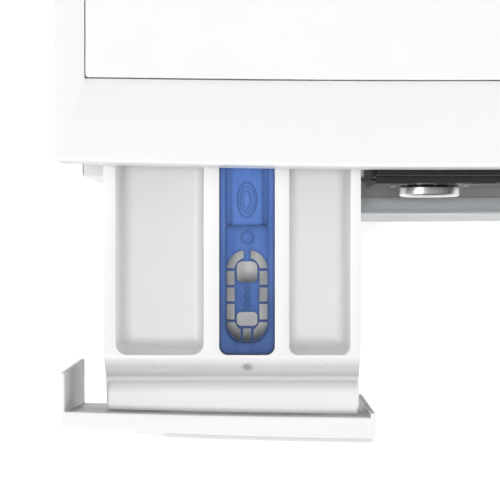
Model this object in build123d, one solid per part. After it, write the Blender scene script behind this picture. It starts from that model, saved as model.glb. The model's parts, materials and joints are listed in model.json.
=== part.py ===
from build123d import *
import math
import os

# Front load washing machine with its detergent drawer pulled out, in millimetres.
# X runs to the right across the front, Y runs backwards, Z is up. The origin lies on the
# floor, midway between the four feet.

# Cabinet
CABINET_WIDTH = 598.0
CABINET_DEPTH = 550.0
CABINET_HEIGHT = 848.0
LID_HEIGHT = 37.0
SHEET = 1.5
FRONT_PANEL_TOP = 688.0
BASE_BOTTOM = 20.0
BASE_TOP = 62.0

# Fascia, with the drawer front on the left and the control panel on the right
FASCIA_BOTTOM = 690.0
FASCIA_TOP = 808.0
FASCIA_BOW = 9.0
FASCIA_END_Y = -272.0
FASCIA_RETURN_Y = -229.0
FASCIA_SPLIT_X = -50.0
FASCIA_WALL = 2.6
RAISED_HALF_LENGTH = 250.0
RAISED_RADIUS = 44.0
RAISED_PROUD = 6.0

# Detergent drawer
DRAWER_TRAVEL = 207.0
TRAY_LEFT = -266.0
TRAY_RIGHT = -61.5
TRAY_RIM_Z = 798.0
TRAY_BOTTOM_Z = 744.0
TRAY_BACK_Y = -13.0
POCKET_FRONT_Y = -216.0
POCKET_BACK_Y = -22.0
POCKET_FLOOR_Z = 750.0
INSERT_CLEARANCE = 0.35

# Door and drum axis
AXIS_Z = 425.0
DOOR_RADIUS = 235.0
DOOR_FRONT_Y = -308.0
DOOR_SPLIT_Y = -293.0
DOOR_BACK_Y = -276.0
HINGE_X = -238.0
HINGE_Y = -292.0
HANDLE_PIVOT_X = 186.0
HANDLE_PIVOT_Y = -300.0
PANEL_OPENING_RADIUS = 162.0

# Washing group
TUB_RADIUS = 256.0
TUB_WALL = 4.0
TUB_FRONT_Y = -215.0
TUB_SPLIT_Y = -40.0
TUB_BACK_Y = 139.0
DRUM_RADIUS = 240.0
DRUM_WALL = 1.2
DRUM_FRONT_Y = -203.0
DRUM_BACK_Y = 105.0
DRUM_MOUTH_RADIUS = 152.0
SHAFT_RADIUS = 15.0
PULLEY_RADIUS = 140.0
MOTOR_PULLEY_RADIUS = 10.0
BELT_FRONT_Y = 197.0
BELT_BACK_Y = 212.0
MOTOR_X = 70.0
MOTOR_Z = 105.0

# Tub
TUB_COLLAR = (168.0, 172.0)
TUB_COLLAR_FRONT_Y = -232.0
TUB_FLANGE_RADIUS = TUB_RADIUS + 7.0
TUB_FLANGE_DEPTH = 8.0
TUB_END_WALL = 5.0
TUB_INLET_BORE = 15.0
TUB_INLET_Z = (590.0, 656.0)
TUB_SPOUT_RADIUS = 18.5
TUB_SPOUT_BORE = 15.5
TUB_SPOUT_Z = (160.0, 215.0)
HUB_RADIUS = 42.0
HUB_BORE = 20.0
HUB_BACK_Y = 189.0
RIB_COUNT = 12
RIB_REACH = 236.0
RIB_HEIGHT = 14.0
RIB_HALF_WIDTH = 2.0
SPRING_LUG_HALF_WIDTH = 9.0
SPRING_LUG_HALF_DEPTH = 7.0
DAMPER_LUG_HALF_WIDTH = 12.0
TUB_FIT = 0.3

# Counterweights
FRONT_WEIGHT_RADII = (177.0, 250.0)
FRONT_WEIGHT_Y = -240.0
FRONT_WEIGHT_BEVEL = 4.0
FRONT_WEIGHT_HALF_GAP = 40.0
TOP_WEIGHT_X = (-30.0, 170.0)
TOP_WEIGHT_Y = (-100.0, 105.0)
TOP_WEIGHT_Z = (600.0, 706.0)
TOP_WEIGHT_CORNER = 12.0

# Drum and drive
PADDLE_COUNT = 3
PADDLE_FOOT_HALF_WIDTH = 28.0
PADDLE_CREST_HALF_WIDTH = 9.0
PADDLE_HEIGHT = 42.0
PADDLE_LENGTH = 245.0
PADDLE_BACK_Y = DRUM_BACK_Y - 30.0
SPIDER_ARMS = 3
SPIDER_REACH = 222.0
SPIDER_ARM_DEPTH = 15.0
SPIDER_ARM_HALF_WIDTH = 17.0
SPIDER_HUB_RADIUS = 34.0
SPIDER_HUB_BACK_Y = 124.0
SHAFT_END_Y = 222.0
PULLEY_RIM = 10.0
PULLEY_WEB_Y = (201.0, 206.0)
PULLEY_HUB_RADIUS = 24.0
PULLEY_HUB_Y = (196.0, 216.0)
PULLEY_WINDOWS = 5
WINDOW_RADIUS = 34.0
WINDOW_CIRCLE = 80.0
BELT_THICKNESS = 2.4
BELT_FIT = 0.35
MOTOR_RADIUS = 54.0
MOTOR_Y = (45.0, 185.0)
MOTOR_HOLLOW_RADIUS = 34.0
MOTOR_HOLLOW_Y = (55.0, 170.0)
MOTOR_SHAFT_RADIUS = 6.0
MOTOR_BRACKETS_Y = ((55.0, 67.0), (122.0, 134.0))
MOTOR_BRACKET_HALF_WIDTH = 42.0
ROTOR_RADIUS = 31.0
ROTOR_Y = (70.0, 155.0)

# Door hinge
HINGE_PIN_RADIUS = 3.0
HINGE_KNUCKLE_RADIUS = 7.0
HINGE_KNUCKLE_HALF_HEIGHT = 28.5
HINGE_LUGS_Z = ((29.0, 43.0), (-43.0, -29.0))
HINGE_PLATE_HALF_HEIGHT = 52.0
HINGE_ARM_END_X = -225.5

# Drain pump behind the service flap
PUMP_X = 180.0
PUMP_Z = 78.0

# Feet and small fits
FOOT_X = 255.0
FOOT_Y = 228.0
FOOT_PAD_RADIUS = 20.0
RUNNING_GAP = 0.06
CLEAR_GAP = 0.4

# Rear fittings
VALVE_X = -215.0
VALVE_RADIUS = 13.2
VALVE_BORE = 8.5
SPIGOT_X = -140.0
SPIGOT_RADIUS = 10.5
SPIGOT_BORE = 8.0
GLAND_X = 225.0
GLAND_RADIUS = 12.0
GLAND_BORE = 4.2
FITTING_Z = 765.0
REAR_REACH = 24.0
TRANSIT_RADIUS = 16.0
TRANSIT_HOLES = [(-215.0, 560.0), (215.0, 560.0), (-215.0, 300.0), (215.0, 300.0)]
COVER_WIDTH = 384.0
COVER_HEIGHT = 494.0
COVER_Z = 385.0
COVER_RIBS_Z = (265, 325, 385, 445, 505)

# Worktop
LID_BOW = 4.7
LID_END_Y = -272.0
LID_EDGE_RADIUS = 3.0
BOARD_HALF_WIDTH = 273.4
BOARD_END_Y = -208.4
BOARD_BOW = 2.6
BOARD_BACK_Y = 236.0
BOARD_THICKNESS = 15.0
BOARD_GAP = 0.9
BEVEL_WIDTH = 6.0
BEVEL_DROP = 1.6

# Knob and buttons
KNOB_X = 0.0
KNOB_RADIUS = 25.0
KNOB_PROUD = 8.0
KNOB_STEM = 4.0
BUTTON_X = (168.0, 214.0)
BUTTON_RADIUS = 11.0
BUTTON_PROUD = 2.6

# Drawer front
FRONT_INNER_END_Y = -259.4
FRONT_INNER_BOW = 5.0
FRONT_TOP_RIM = 4.0
FRONT_SLOPE = 8.6
FRONT_SIDE = 3.8

# Tray: each outer pocket is (left, right, corner radius)
TRAY_POCKETS = ((-256.5, -186.0, 9.5), (-118.6, -69.4, 7.0))
MIDDLE_POCKET = (-174.0, -129.7)
POCKET_DRAFT = 4
POCKET_FLOOR_RADIUS = 9
SHELF_Y = -234.5
SHELF_TOP_Z = 783.0
GRIP_BACK_Y = -235.5
GRIP_BOTTOM_Z = 764.0
GRIP_TOP_Z = 788.5
GRIP_ROLL = 13.0
GRIP_END_RADIUS = 4.0

# Softener insert
INSERT_BOTTOM_Z = 790.0
INSERT_TOP_Z = 796.0
INSERT_PLATE_Z = 793.0
INSERT_HINGE_RADIUS = 2.0
GRID_HALF_WIDTH = 16.4
TONGUE_HALF_WIDTH = 12.5
TONGUE_PROUD = 1.2

# Dispenser
BAY_SIDE_GAP = 4.0
OUTLET_X = -165.0
OUTLET_Y = -110.0
OUTLET_RADIUS = 18.5
OUTLET_BORE = 15.5

# Door handle
HANDLE_HALF_HEIGHT = 60.0
HANDLE_LEFT_X = 179.5
HANDLE_GAP = 1.2
HANDLE_PIN_RADIUS = 2.0
HANDLE_PIN_REACH = 6.0

# Springs, dampers, bearings and sump
SUMP_X = 95.0
SUMP_Y = -165.0
BEARING_OUTER = 26.0
BEARING_WIDTH = 15.0
BEARING_PLACES = (146.0, 172.0)
SPRING_X = 205.0
SPRING_Y = 41.0
SPRING_LOW_Z = 632.0
SPRING_TOP_Z = 803.5
SPRING_WIRE = 1.8
SPRING_COIL = 11.0
SPRING_PITCH = 8.5
DAMPER_X = 175.0
DAMPER_Y = 10.0
DAMPER_LUG_Z = 205.0

HALF_WIDTH = CABINET_WIDTH / 2
FRONT_Y = -CABINET_DEPTH / 2
BACK_Y = CABINET_DEPTH / 2
LID_BOTTOM = CABINET_HEIGHT - LID_HEIGHT
SIDE_X = HALF_WIDTH - 0.5
FASCIA_MIDDLE_Y = FASCIA_END_Y - FASCIA_BOW
KNOB_Z = (FASCIA_BOTTOM + FASCIA_TOP) / 2
INSERT_X = (MIDDLE_POCKET[0] + MIDDLE_POCKET[1]) / 2
REAR_REACH_Y = BACK_Y + REAR_REACH
FLAP_Y = FRONT_Y + 4.4
FLAP_Z = 34.0
OPENED = Pos(0, -DRAWER_TRAVEL, 0)


def block(x0, x1, y0, y1, z0, z1):
    """Box between two opposite corners."""
    middle = Pos((x0 + x1) / 2, (y0 + y1) / 2, (z0 + z1) / 2)
    return middle * Box(x1 - x0, y1 - y0, z1 - z0)


def upright(radius, x, y, z0, z1):
    """Round bar along Z."""
    return Pos(x, y, (z0 + z1) / 2) * Cylinder(radius, z1 - z0)


def lengthwise(radius, x, z, y0, y1):
    """Round bar along Y."""
    return Pos(x, (y0 + y1) / 2, z) * Rot(90, 0, 0) * Cylinder(radius, y1 - y0)


def crosswise(radius, y, z, x0, x1):
    """Round bar along X."""
    return Pos((x0 + x1) / 2, y, z) * Rot(0, 90, 0) * Cylinder(radius, x1 - x0)


def turned(profile, x=0.0, z=AXIS_Z):
    """Solid of revolution about a line along Y; the profile holds (radius, y) points."""
    face = make_face(Polyline(*profile, close=True))
    return Pos(x, 0, z) * revolve(face, Axis.Y, 360)


def raised(sketch, z0, z1):
    """Plan sketch made solid between two heights."""
    return extrude(Plane.XY.offset(z0) * sketch, amount=z1 - z0)


def fronted(sketch, y0, y1):
    """Front-view sketch (X across, Z up) made solid between two depths."""
    return extrude(Plane.XZ.offset(-y1) * sketch, amount=y1 - y0)


def profiled(points, x0, x1):
    """Side-view outline of (y, z) points made solid between two places along X."""
    face = make_face(Polyline(*points, close=True))
    return extrude(Plane.YZ.offset(x0) * face, amount=x1 - x0)


def bow(x, middle_y, end_y):
    """Y of a shallow arc across the front, from end_y at the sides to middle_y at the centre."""
    sagitta = end_y - middle_y
    radius = (HALF_WIDTH ** 2 + sagitta ** 2) / (2 * sagitta)
    return middle_y + radius - math.sqrt(radius ** 2 - x ** 2)


def bowed_face(x0, x1, back_y, middle_y, end_y):
    """Plan outline with a straight back and a bowed front."""
    front = [(x, bow(x, middle_y, end_y)) for x in (x0, (x0 + x1) / 2, x1)]
    sides = Polyline(front[2], (x1, back_y), (x0, back_y), front[0])
    return make_face([ThreePointArc(*front)] + sides.edges())


def vertical_edges(solid, radius, choose=lambda edge: True):
    """Round the chosen upright edges."""
    edges = [edge for edge in solid.edges().filter_by(Axis.Z) if choose(edge)]
    return fillet(edges, radius)


def save(name, shape):
    """Write one sub-part."""
    export_step(shape, f"parts/{name}.step")


# ---------------------------------------------------------------- cabinet

def base_frame():
    """Pressed tray that carries the cabinet, with a bore for each foot's stem."""
    depth = BACK_Y - 5
    wall = 36.0
    floor = 3.0
    tray = block(-SIDE_X + 2, SIDE_X - 2, -depth, depth, BASE_BOTTOM, BASE_TOP)
    tray = vertical_edges(tray, 6)
    tray -= block(-SIDE_X + wall, SIDE_X - wall, -depth + wall, depth - wall, BASE_BOTTOM + floor, BASE_TOP)
    corner = 34.0
    for x in (-FOOT_X, FOOT_X):
        for y in (-FOOT_Y, FOOT_Y):
            tray += block(x - corner, x + corner, y - corner, y + corner, BASE_BOTTOM, BASE_TOP)
    for x in (-FOOT_X, FOOT_X):
        for y in (-FOOT_Y, FOOT_Y):
            tray -= upright(5 + RUNNING_GAP, x, y, 0, 100)
    tray -= block(PUMP_X - 70, PUMP_X + 70, -depth - 1, -180, BASE_BOTTOM + 6, BASE_TOP + 1)
    return tray


def side_panel(sign):
    """Steel side with folded front and rear edges; the fascia's return takes its top front corner."""
    front = FRONT_Y + SHEET
    back = BACK_Y - 3
    outline = [(front, BASE_BOTTOM + 2), (back, BASE_BOTTOM + 2), (back, LID_BOTTOM),
               (FASCIA_RETURN_Y + 0.6, LID_BOTTOM), (FASCIA_RETURN_Y + 0.6, FRONT_PANEL_TOP),
               (front, FRONT_PANEL_TOP)]
    panel = profiled(outline, SIDE_X - SHEET, SIDE_X)
    flange = 22.0
    inner = SIDE_X - flange
    panel += block(inner, SIDE_X, front, front + SHEET, BASE_TOP + 1, FRONT_PANEL_TOP - 2 * SHEET)
    panel += block(inner, SIDE_X, back - SHEET, back, BASE_TOP + 1, LID_BOTTOM)
    return panel if sign > 0 else panel.mirror(Plane.YZ)


def front_panel():
    """Flat steel front with the door opening, its inward lip, the service opening and the hook slot."""
    panel = block(-SIDE_X, SIDE_X, FRONT_Y, FRONT_Y + SHEET, BASE_BOTTOM + 2, FRONT_PANEL_TOP)
    panel = vertical_edges(panel, 0.9, lambda edge: edge.center().Y < FRONT_Y + 0.1)
    panel += block(-SIDE_X + 2, SIDE_X - 2, FRONT_Y, FRONT_Y + 20, FRONT_PANEL_TOP - SHEET, FRONT_PANEL_TOP)
    lip = lengthwise(PANEL_OPENING_RADIUS + SHEET, 0, AXIS_Z, FRONT_Y, FRONT_Y + 10)
    panel += lip
    panel -= lengthwise(PANEL_OPENING_RADIUS, 0, AXIS_Z, FRONT_Y - 5, FRONT_Y + 20)
    panel -= block(PUMP_X - 61, PUMP_X + 61, FRONT_Y - 5, FRONT_Y + 5, 28, 127)
    for side in (-1, 1):
        x = PUMP_X + side * 64.6
        clip = block(x - 3.4, x + 3.4, FRONT_Y + SHEET, FRONT_Y + 9, FLAP_Z - 5, FLAP_Z + 5)
        panel += clip - crosswise(2.4 + RUNNING_GAP, FLAP_Y, FLAP_Z, x - 5, x + 5)
    panel -= block(181, 212, FRONT_Y - 5, FRONT_Y + 5, AXIS_Z - 10, AXIS_Z + 10)
    return panel


def rear_panel():
    """Steel back with a large service opening and holes for the water, drain and mains fittings."""
    y0 = BACK_Y - 3
    y1 = y0 + SHEET
    panel = block(-SIDE_X + 2, SIDE_X - 2, y0, y1, BASE_BOTTOM + 2, LID_BOTTOM)
    opening = Pos(0, COVER_Z) * RectangleRounded(COVER_WIDTH - 24, COVER_HEIGHT - 24, 30)
    panel -= fronted(opening, y0 - 5, y1 + 5)
    panel -= lengthwise(VALVE_RADIUS + 1.2, VALVE_X, FITTING_Z, y0 - 5, y1 + 5)
    panel -= lengthwise(SPIGOT_RADIUS + 1.2, SPIGOT_X, FITTING_Z, y0 - 5, y1 + 5)
    panel -= lengthwise(GLAND_RADIUS + 0.3, GLAND_X, FITTING_Z, y0 - 5, y1 + 5)
    for x, z in TRANSIT_HOLES:
        panel -= lengthwise(TRANSIT_RADIUS, x, z, y0 - 5, y1 + 5)
    return panel


def rear_service_cover():
    """Embossed cover over the opening in the back."""
    y0 = BACK_Y - 3 + SHEET
    middle = Pos(0, COVER_Z)
    plate = fronted(middle * RectangleRounded(COVER_WIDTH, COVER_HEIGHT, 36), y0, y0 + SHEET)
    outer = middle * RectangleRounded(COVER_WIDTH - 64, COVER_HEIGHT - 64, 40)
    inner = middle * RectangleRounded(COVER_WIDTH - 70, COVER_HEIGHT - 70, 37)
    plate += fronted(outer, y0 + SHEET, y0 + SHEET + 3)
    plate -= fronted(inner, y0 - 1, y0 + SHEET + 1.5)
    for z in COVER_RIBS_Z:
        rib = Pos(0, z) * SlotOverall(220, 16)
        plate += fronted(rib, y0 + SHEET + 3, y0 + SHEET + 4.5)
    return plate


def cabinet_screws():
    """Hexagon-head screws round the back panel and its cover, each a separate solid."""
    screws = []
    cover_y = BACK_Y - 3 + 2 * SHEET
    for x in (-186, 186):
        for z in (160, 310, 460, 610):
            screws.append(screw_head(x, z, cover_y))
    for x in (-285, 285):
        for z in (60, 240, 440, 640, 790):
            screws.append(screw_head(x, z, BACK_Y - 3 + SHEET))
    return Compound(children=screws)


def screw_head(x, z, y):
    """Low hexagon head on a washer, standing on a sheet whose outer face is at y."""
    washer = fronted(Pos(x, z) * Circle(5.4), y, y + 0.8)
    head = fronted(Pos(x, z) * RegularPolygon(4.2, 6), y + 0.8, y + 3.6)
    return washer + head


def top_crossbars():
    """Two steel channels across the top: the rear one carries the springs."""
    bars = []
    for y0, y1 in ((-227, -211), (30, 52)):
        bar = block(-SIDE_X + 2, SIDE_X - 2, y0, y1, 804.5, LID_BOTTOM)
        bar -= block(-SIDE_X, SIDE_X, y0 + 2, y1 - 2, 804, LID_BOTTOM - 2)
        bars.append(bar)
    return Compound(children=bars)


def worktop_frame():
    """Plastic surround of the worktop: bowed front, a ledge for the board, a bevel down to the board."""
    outer = bowed_face(-HALF_WIDTH, HALF_WIDTH, BACK_Y, LID_END_Y - LID_BOW, LID_END_Y)
    frame = raised(outer, LID_BOTTOM, CABINET_HEIGHT)
    frame = vertical_edges(frame, 5)
    top_edges = frame.faces().sort_by(Axis.Z)[-1].edges()
    frame = fillet(top_edges, LID_EDGE_RADIUS)
    seat = CABINET_HEIGHT - BOARD_THICKNESS - 0.2
    frame -= raised(board_outline(BOARD_GAP), seat, CABINET_HEIGHT + 1)
    hollow = bowed_face(-HALF_WIDTH + 3, HALF_WIDTH - 3, BACK_Y - 3, LID_END_Y - LID_BOW + 3, LID_END_Y + 3)
    frame -= raised(hollow, LID_BOTTOM - 1, seat - 3)
    frame -= raised(board_outline(-14), LID_BOTTOM - 1, CABINET_HEIGHT + 1)
    front_low = bowed_face(-BOARD_HALF_WIDTH, BOARD_HALF_WIDTH, 0, BOARD_END_Y - BOARD_BOW, BOARD_END_Y)
    front_high = bowed_face(-BOARD_HALF_WIDTH, BOARD_HALF_WIDTH, 0,
                            BOARD_END_Y - BOARD_BOW - BEVEL_WIDTH, BOARD_END_Y - BEVEL_WIDTH)
    low = Plane.XY.offset(CABINET_HEIGHT - BEVEL_DROP) * front_low
    high = Plane.XY.offset(CABINET_HEIGHT + 0.001) * front_high
    return frame - loft([low, high])


def board_outline(grow):
    """Plan outline of the board, grown all round."""
    half = BOARD_HALF_WIDTH + grow
    end_y = BOARD_END_Y - grow
    return bowed_face(-half, half, BOARD_BACK_Y + grow, end_y - BOARD_BOW, end_y)


def worktop_board():
    """Laminated board let into the worktop frame."""
    board = raised(board_outline(0), CABINET_HEIGHT - BOARD_THICKNESS, CABINET_HEIGHT)
    board = vertical_edges(board, 2)
    return fillet(board.faces().sort_by(Axis.Z)[-1].edges(), 0.5)


# ---------------------------------------------------------------- fascia

def raised_outline(x0, x1, shrink=0.0):
    """Front-view outline of the raised panel with round ends, cut off at x0 and x1."""
    middle_z = (FASCIA_BOTTOM + FASCIA_TOP) / 2
    slot = SlotOverall(2 * (RAISED_HALF_LENGTH - shrink), 2 * (RAISED_RADIUS - shrink))
    window = Pos((x0 + x1) / 2, middle_z) * Rectangle(x1 - x0, 200)
    return (Pos(0, middle_z) * slot) & window


def raised_panel(x0, x1, y_back):
    """Raised panel that follows the fascia's bow, between two places along X."""
    band = bowed_face(x0, x1, y_back, FASCIA_MIDDLE_Y - RAISED_PROUD, FASCIA_END_Y - RAISED_PROUD)
    band = raised(band, FASCIA_BOTTOM, FASCIA_TOP)
    return band & fronted(raised_outline(x0, x1), FASCIA_MIDDLE_Y - 20, y_back + 1)


def fascia_shell():
    """Housing of the control panel, and behind the drawer front the frame round the tray's opening."""
    x0 = FASCIA_SPLIT_X + 1.0
    outer = raised(bowed_face(x0, HALF_WIDTH, -240, FASCIA_MIDDLE_Y, FASCIA_END_Y), FASCIA_BOTTOM, FASCIA_TOP)
    wall = FASCIA_WALL
    inner = bowed_face(x0 + wall, HALF_WIDTH - wall, -230, FASCIA_MIDDLE_Y + wall, FASCIA_END_Y + wall)
    shell = outer - raised(inner, FASCIA_BOTTOM + wall, FASCIA_TOP - wall)
    shell += block(HALF_WIDTH - wall, HALF_WIDTH, -242, FASCIA_RETURN_Y, FASCIA_BOTTOM, FASCIA_TOP)
    shell = vertical_edges(shell, 3, lambda edge: edge.center().X > HALF_WIDTH - 1 and edge.center().Y < -265)
    frame = block(-SIDE_X + 4, x0 + wall, -256.5, -254, FRONT_PANEL_TOP + 0.5, FASCIA_TOP)
    frame -= block(TRAY_LEFT - 5, TRAY_RIGHT + 5, -260, -250, 735, TRAY_RIM_Z + 5)
    shell += frame
    shell += block(-SIDE_X + 4, -SIDE_X + 6, -254.5, FASCIA_RETURN_Y, FRONT_PANEL_TOP + 0.5, FASCIA_TOP)
    for x, radius in panel_bores():
        shell -= lengthwise(radius, x, KNOB_Z, -300, -262)
    return shell


def panel_bores():
    """Place and radius of each bore through the control panel: the knob's stem and the two buttons."""
    buttons = [(x, BUTTON_RADIUS + CLEAR_GAP) for x in BUTTON_X]
    return [(KNOB_X, KNOB_STEM + 0.6)] + buttons


def control_glass():
    """Black glass of the control panel, bored for the knob's stem and the two buttons."""
    x0 = FASCIA_SPLIT_X + 1.0
    glass = raised_panel(x0, RAISED_HALF_LENGTH, -262)
    body = raised(bowed_face(x0 - 5, HALF_WIDTH, -230, FASCIA_MIDDLE_Y, FASCIA_END_Y), 600, 900)
    glass -= body
    glass = fillet(glass.faces().sort_by(Axis.Y)[0].edges().filter_by(GeomType.LINE, reverse=True), 0.8)
    for x, radius in panel_bores():
        glass -= lengthwise(radius, x, KNOB_Z, -300, -262)
    return glass


def control_board():
    """Circuit board on posts behind the control panel, with its relay and the knob's encoder."""
    board = block(-30, 246, -262, -260, KNOB_Z - 42, KNOB_Z + 42)
    board += block(40, 90, -260, -244, KNOB_Z - 20, KNOB_Z + 20)
    board += block(120, 150, -260, -248, KNOB_Z - 30, KNOB_Z)
    board += block(-12, 12, -266, -262, KNOB_Z - 12, KNOB_Z + 12)
    return board - lengthwise(KNOB_STEM + 0.6, KNOB_X, KNOB_Z, -270, -255)


def program_knob():
    """Turned metal knob with a dished face and a fine pointer ridge, on its stem."""
    back = FASCIA_MIDDLE_Y - RAISED_PROUD - CLEAR_GAP
    front = back - KNOB_PROUD
    profile = [(0, back), (KNOB_RADIUS - 1, back), (KNOB_RADIUS, back - 1), (KNOB_RADIUS, front + 1.6),
               (KNOB_RADIUS - 1.2, front), (KNOB_RADIUS - 3, front), (KNOB_RADIUS - 4.5, front + 1.2),
               (0, front + 1.8)]
    knob = turned(profile, KNOB_X, KNOB_Z)
    knob += lengthwise(KNOB_STEM, KNOB_X, KNOB_Z, back - 2, -263)
    pointer = block(-0.9, 0.9, front + 0.4, front + 3, KNOB_Z + 8, KNOB_Z + 19)
    return knob + pointer


def push_button(x):
    """Round key that stands just proud of the glass, with a stem to the board."""
    glass_y = bow(x, FASCIA_MIDDLE_Y, FASCIA_END_Y) - RAISED_PROUD
    key = lengthwise(BUTTON_RADIUS, x, KNOB_Z, glass_y - BUTTON_PROUD, glass_y + 5)
    key = fillet(key.edges().sort_by(Axis.Y)[0], 1.2)
    return key + lengthwise(3, x, KNOB_Z, glass_y + 4.9, -264.5)


# ---------------------------------------------------------------- detergent drawer


def drawer_front():
    """Bowed white front with a deep top rim, a raised panel, a left side wall and a short right return."""
    x0 = -HALF_WIDTH
    x1 = FASCIA_SPLIT_X - 0.7
    inner_middle = FRONT_INNER_END_Y - FRONT_INNER_BOW
    slab = raised(bowed_face(x0, x1, -225, FASCIA_MIDDLE_Y, FASCIA_END_Y), FASCIA_BOTTOM, FASCIA_TOP)
    slab = vertical_edges(slab, 4, lambda edge: edge.center().X < x0 + 1 and edge.center().Y < -260)
    slab += raised_panel(-RAISED_HALF_LENGTH, x1, -262)
    rim_top = FASCIA_TOP - FRONT_TOP_RIM
    cut = bowed_face(x0 + FRONT_SIDE, x1 + 5, -220, inner_middle, FRONT_INNER_END_Y)
    slab -= raised(cut, FASCIA_BOTTOM - 1, FASCIA_TOP + 1)
    upper = bowed_face(x0 + FRONT_SIDE, x1 - FRONT_SIDE, -220, inner_middle, FRONT_INNER_END_Y)
    lower = bowed_face(x0 + FRONT_SIDE, x1 - FRONT_SIDE, -220,
                       inner_middle - FRONT_SLOPE, FRONT_INNER_END_Y - FRONT_SLOPE)
    slab -= loft([Plane.XY.offset(FASCIA_BOTTOM - 1) * lower, Plane.XY.offset(rim_top) * upper])
    slab -= block(x0 - 1, x0 + FRONT_SIDE + 1, FASCIA_RETURN_Y, -200, FASCIA_BOTTOM - 1, FASCIA_TOP + 1)
    slab += block(x1 - FRONT_SIDE, x1, -266, -260.5, FASCIA_BOTTOM, FASCIA_TOP)
    return OPENED * slab


def pocket(x0, x1, radius):
    """Cutter for one detergent compartment, with drafted walls and a rounded floor."""
    plan = Pos((x0 + x1) / 2, (POCKET_FRONT_Y + POCKET_BACK_Y) / 2) * RectangleRounded(
        x1 - x0, POCKET_BACK_Y - POCKET_FRONT_Y, radius)
    cutter = extrude(Plane.XY.offset(TRAY_RIM_Z + 0.01) * plan, amount=TRAY_RIM_Z - POCKET_FLOOR_Z,
                     dir=(0, 0, -1), taper=POCKET_DRAFT)
    return fillet(cutter.faces().sort_by(Axis.Z)[0].edges(), POCKET_FLOOR_RADIUS)


def tray_shelf():
    """Shelf that slopes down from the compartments to the grip bar, with a rounded crest."""
    back_y = POCKET_FRONT_Y + 6
    crest_y = POCKET_FRONT_Y - 2
    outline = [(back_y, TRAY_BOTTOM_Z), (back_y, TRAY_RIM_Z), (crest_y, TRAY_RIM_Z), (SHELF_Y, SHELF_TOP_Z),
               (-258, SHELF_TOP_Z - 5), (-258, TRAY_BOTTOM_Z)]
    shelf = profiled(outline, TRAY_LEFT + 0.5, TRAY_RIGHT - 0.5)
    crest = [edge for edge in shelf.edges().filter_by(Axis.X) if abs(edge.center().Y - crest_y) < 0.1]
    return fillet(crest, 6)


def middle_well():
    """Cutter for the softener compartment: a seat for the insert over a narrower well."""
    x0, x1 = MIDDLE_POCKET
    middle = Pos(INSERT_X, (POCKET_FRONT_Y + POCKET_BACK_Y) / 2)
    length = POCKET_BACK_Y - POCKET_FRONT_Y
    seat = middle * RectangleRounded(x1 - x0, length, 7)
    well = middle * RectangleRounded(x1 - x0 - 5, length - 6, 5)
    cutter = raised(seat, INSERT_BOTTOM_Z - CLEAR_GAP, TRAY_RIM_Z + 1)
    return cutter + raised(well, POCKET_FLOOR_Z, TRAY_RIM_Z + 1)


def drawer_tray():
    """Three-compartment tray with a sloping front shelf and a rounded grip bar behind the drawer front."""
    front = POCKET_FRONT_Y + 4
    tray = block(TRAY_LEFT + 2.5, TRAY_RIGHT - 2.5, front, TRAY_BACK_Y, TRAY_BOTTOM_Z, TRAY_RIM_Z)
    tray += block(TRAY_LEFT, TRAY_RIGHT, front, TRAY_BACK_Y, TRAY_RIM_Z - 3.5, TRAY_RIM_Z)
    tray += tray_shelf()
    for x0, x1, radius in TRAY_POCKETS:
        tray -= pocket(x0, x1, radius)
    tray -= middle_well()
    return OPENED * (tray + grip_bar(TRAY_LEFT + 1.5, TRAY_RIGHT - 0.5))


def grip_bar(x0, x1):
    """Convex bar along the tray's front, with rounded ends, that stops against the drawer front."""
    inner_middle = FRONT_INNER_END_Y - FRONT_INNER_BOW
    plan = bowed_face(x0, x1, GRIP_BACK_Y, inner_middle + 0.5, FRONT_INNER_END_Y + 0.5)
    bar = raised(plan, GRIP_BOTTOM_Z, GRIP_TOP_Z)
    back_top = bar.edges().filter_by(Axis.X).sort_by(lambda edge: -edge.center().Z)[0]
    bar = fillet(back_top, GRIP_ROLL)
    low = GRIP_TOP_Z - GRIP_ROLL + 2
    ends = [edge for edge in bar.edges() if at_end(edge, x0, x1) and edge.center().Z > low]
    return fillet(ends, GRIP_END_RADIUS)


def at_end(edge, x0, x1):
    """Whether an edge lies on the left or the right end face."""
    box = edge.bounding_box()
    return box.max.X < x0 + 0.01 or box.min.X > x1 - 0.01


def insert_place(d):
    """Y of a point d millimetres behind the insert's front end, with the drawer shut."""
    return POCKET_FRONT_Y + INSERT_CLEARANCE + d


def insert_window(half_x, x, d0, d1, radius):
    """Rounded window through the insert between two places along it."""
    y0 = insert_place(d0)
    y1 = insert_place(d1)
    shape = RectangleRounded(2 * half_x, y1 - y0, radius)
    return Pos(INSERT_X + x, (y0 + y1) / 2) * shape


def insert_grid():
    """Plan of the drain grid: side slots, corner slots, an arch of two slots and two middle windows."""
    holes = insert_window(8.2, 0, 22.4, 33.6, 3.4)
    holes += insert_window(8.2, 0, 57.2, 74, 4.5)
    holes += insert_window(3.2, 0, 10.4, 20.6, 0.8)
    for side in (-1, 1):
        for d0, d1 in ((27.6, 40), (42, 53.2), (55.2, 66.4)):
            holes += insert_window(3.2, side * 13.1, d0, d1, 0.7)
        holes += corner_slot(side)
        holes += arch_slot(side)
    return holes


def corner_slot(side):
    """Slot that rounds the front corner of the grid."""
    slot = insert_window(5.6, side * 10.8, 10.4, 25.6, 0.6)
    round_part = Pos(INSERT_X, insert_place(9.9 + GRID_HALF_WIDTH)) * Circle(GRID_HALF_WIDTH)
    inner_round = Pos(INSERT_X, insert_place(28)) * Circle(9.9)
    return (slot & round_part) - inner_round


def arch_slot(side):
    """Half of the arch that closes the grid at its back."""
    centre = Pos(INSERT_X, insert_place(66.8))
    ring = centre * Circle(GRID_HALF_WIDTH) - centre * Circle(10.2)
    middle = Pos(INSERT_X + side * 9.6, insert_place(68.6 + 8)) * Rectangle(13.6, 16)
    return ring & middle


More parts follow.
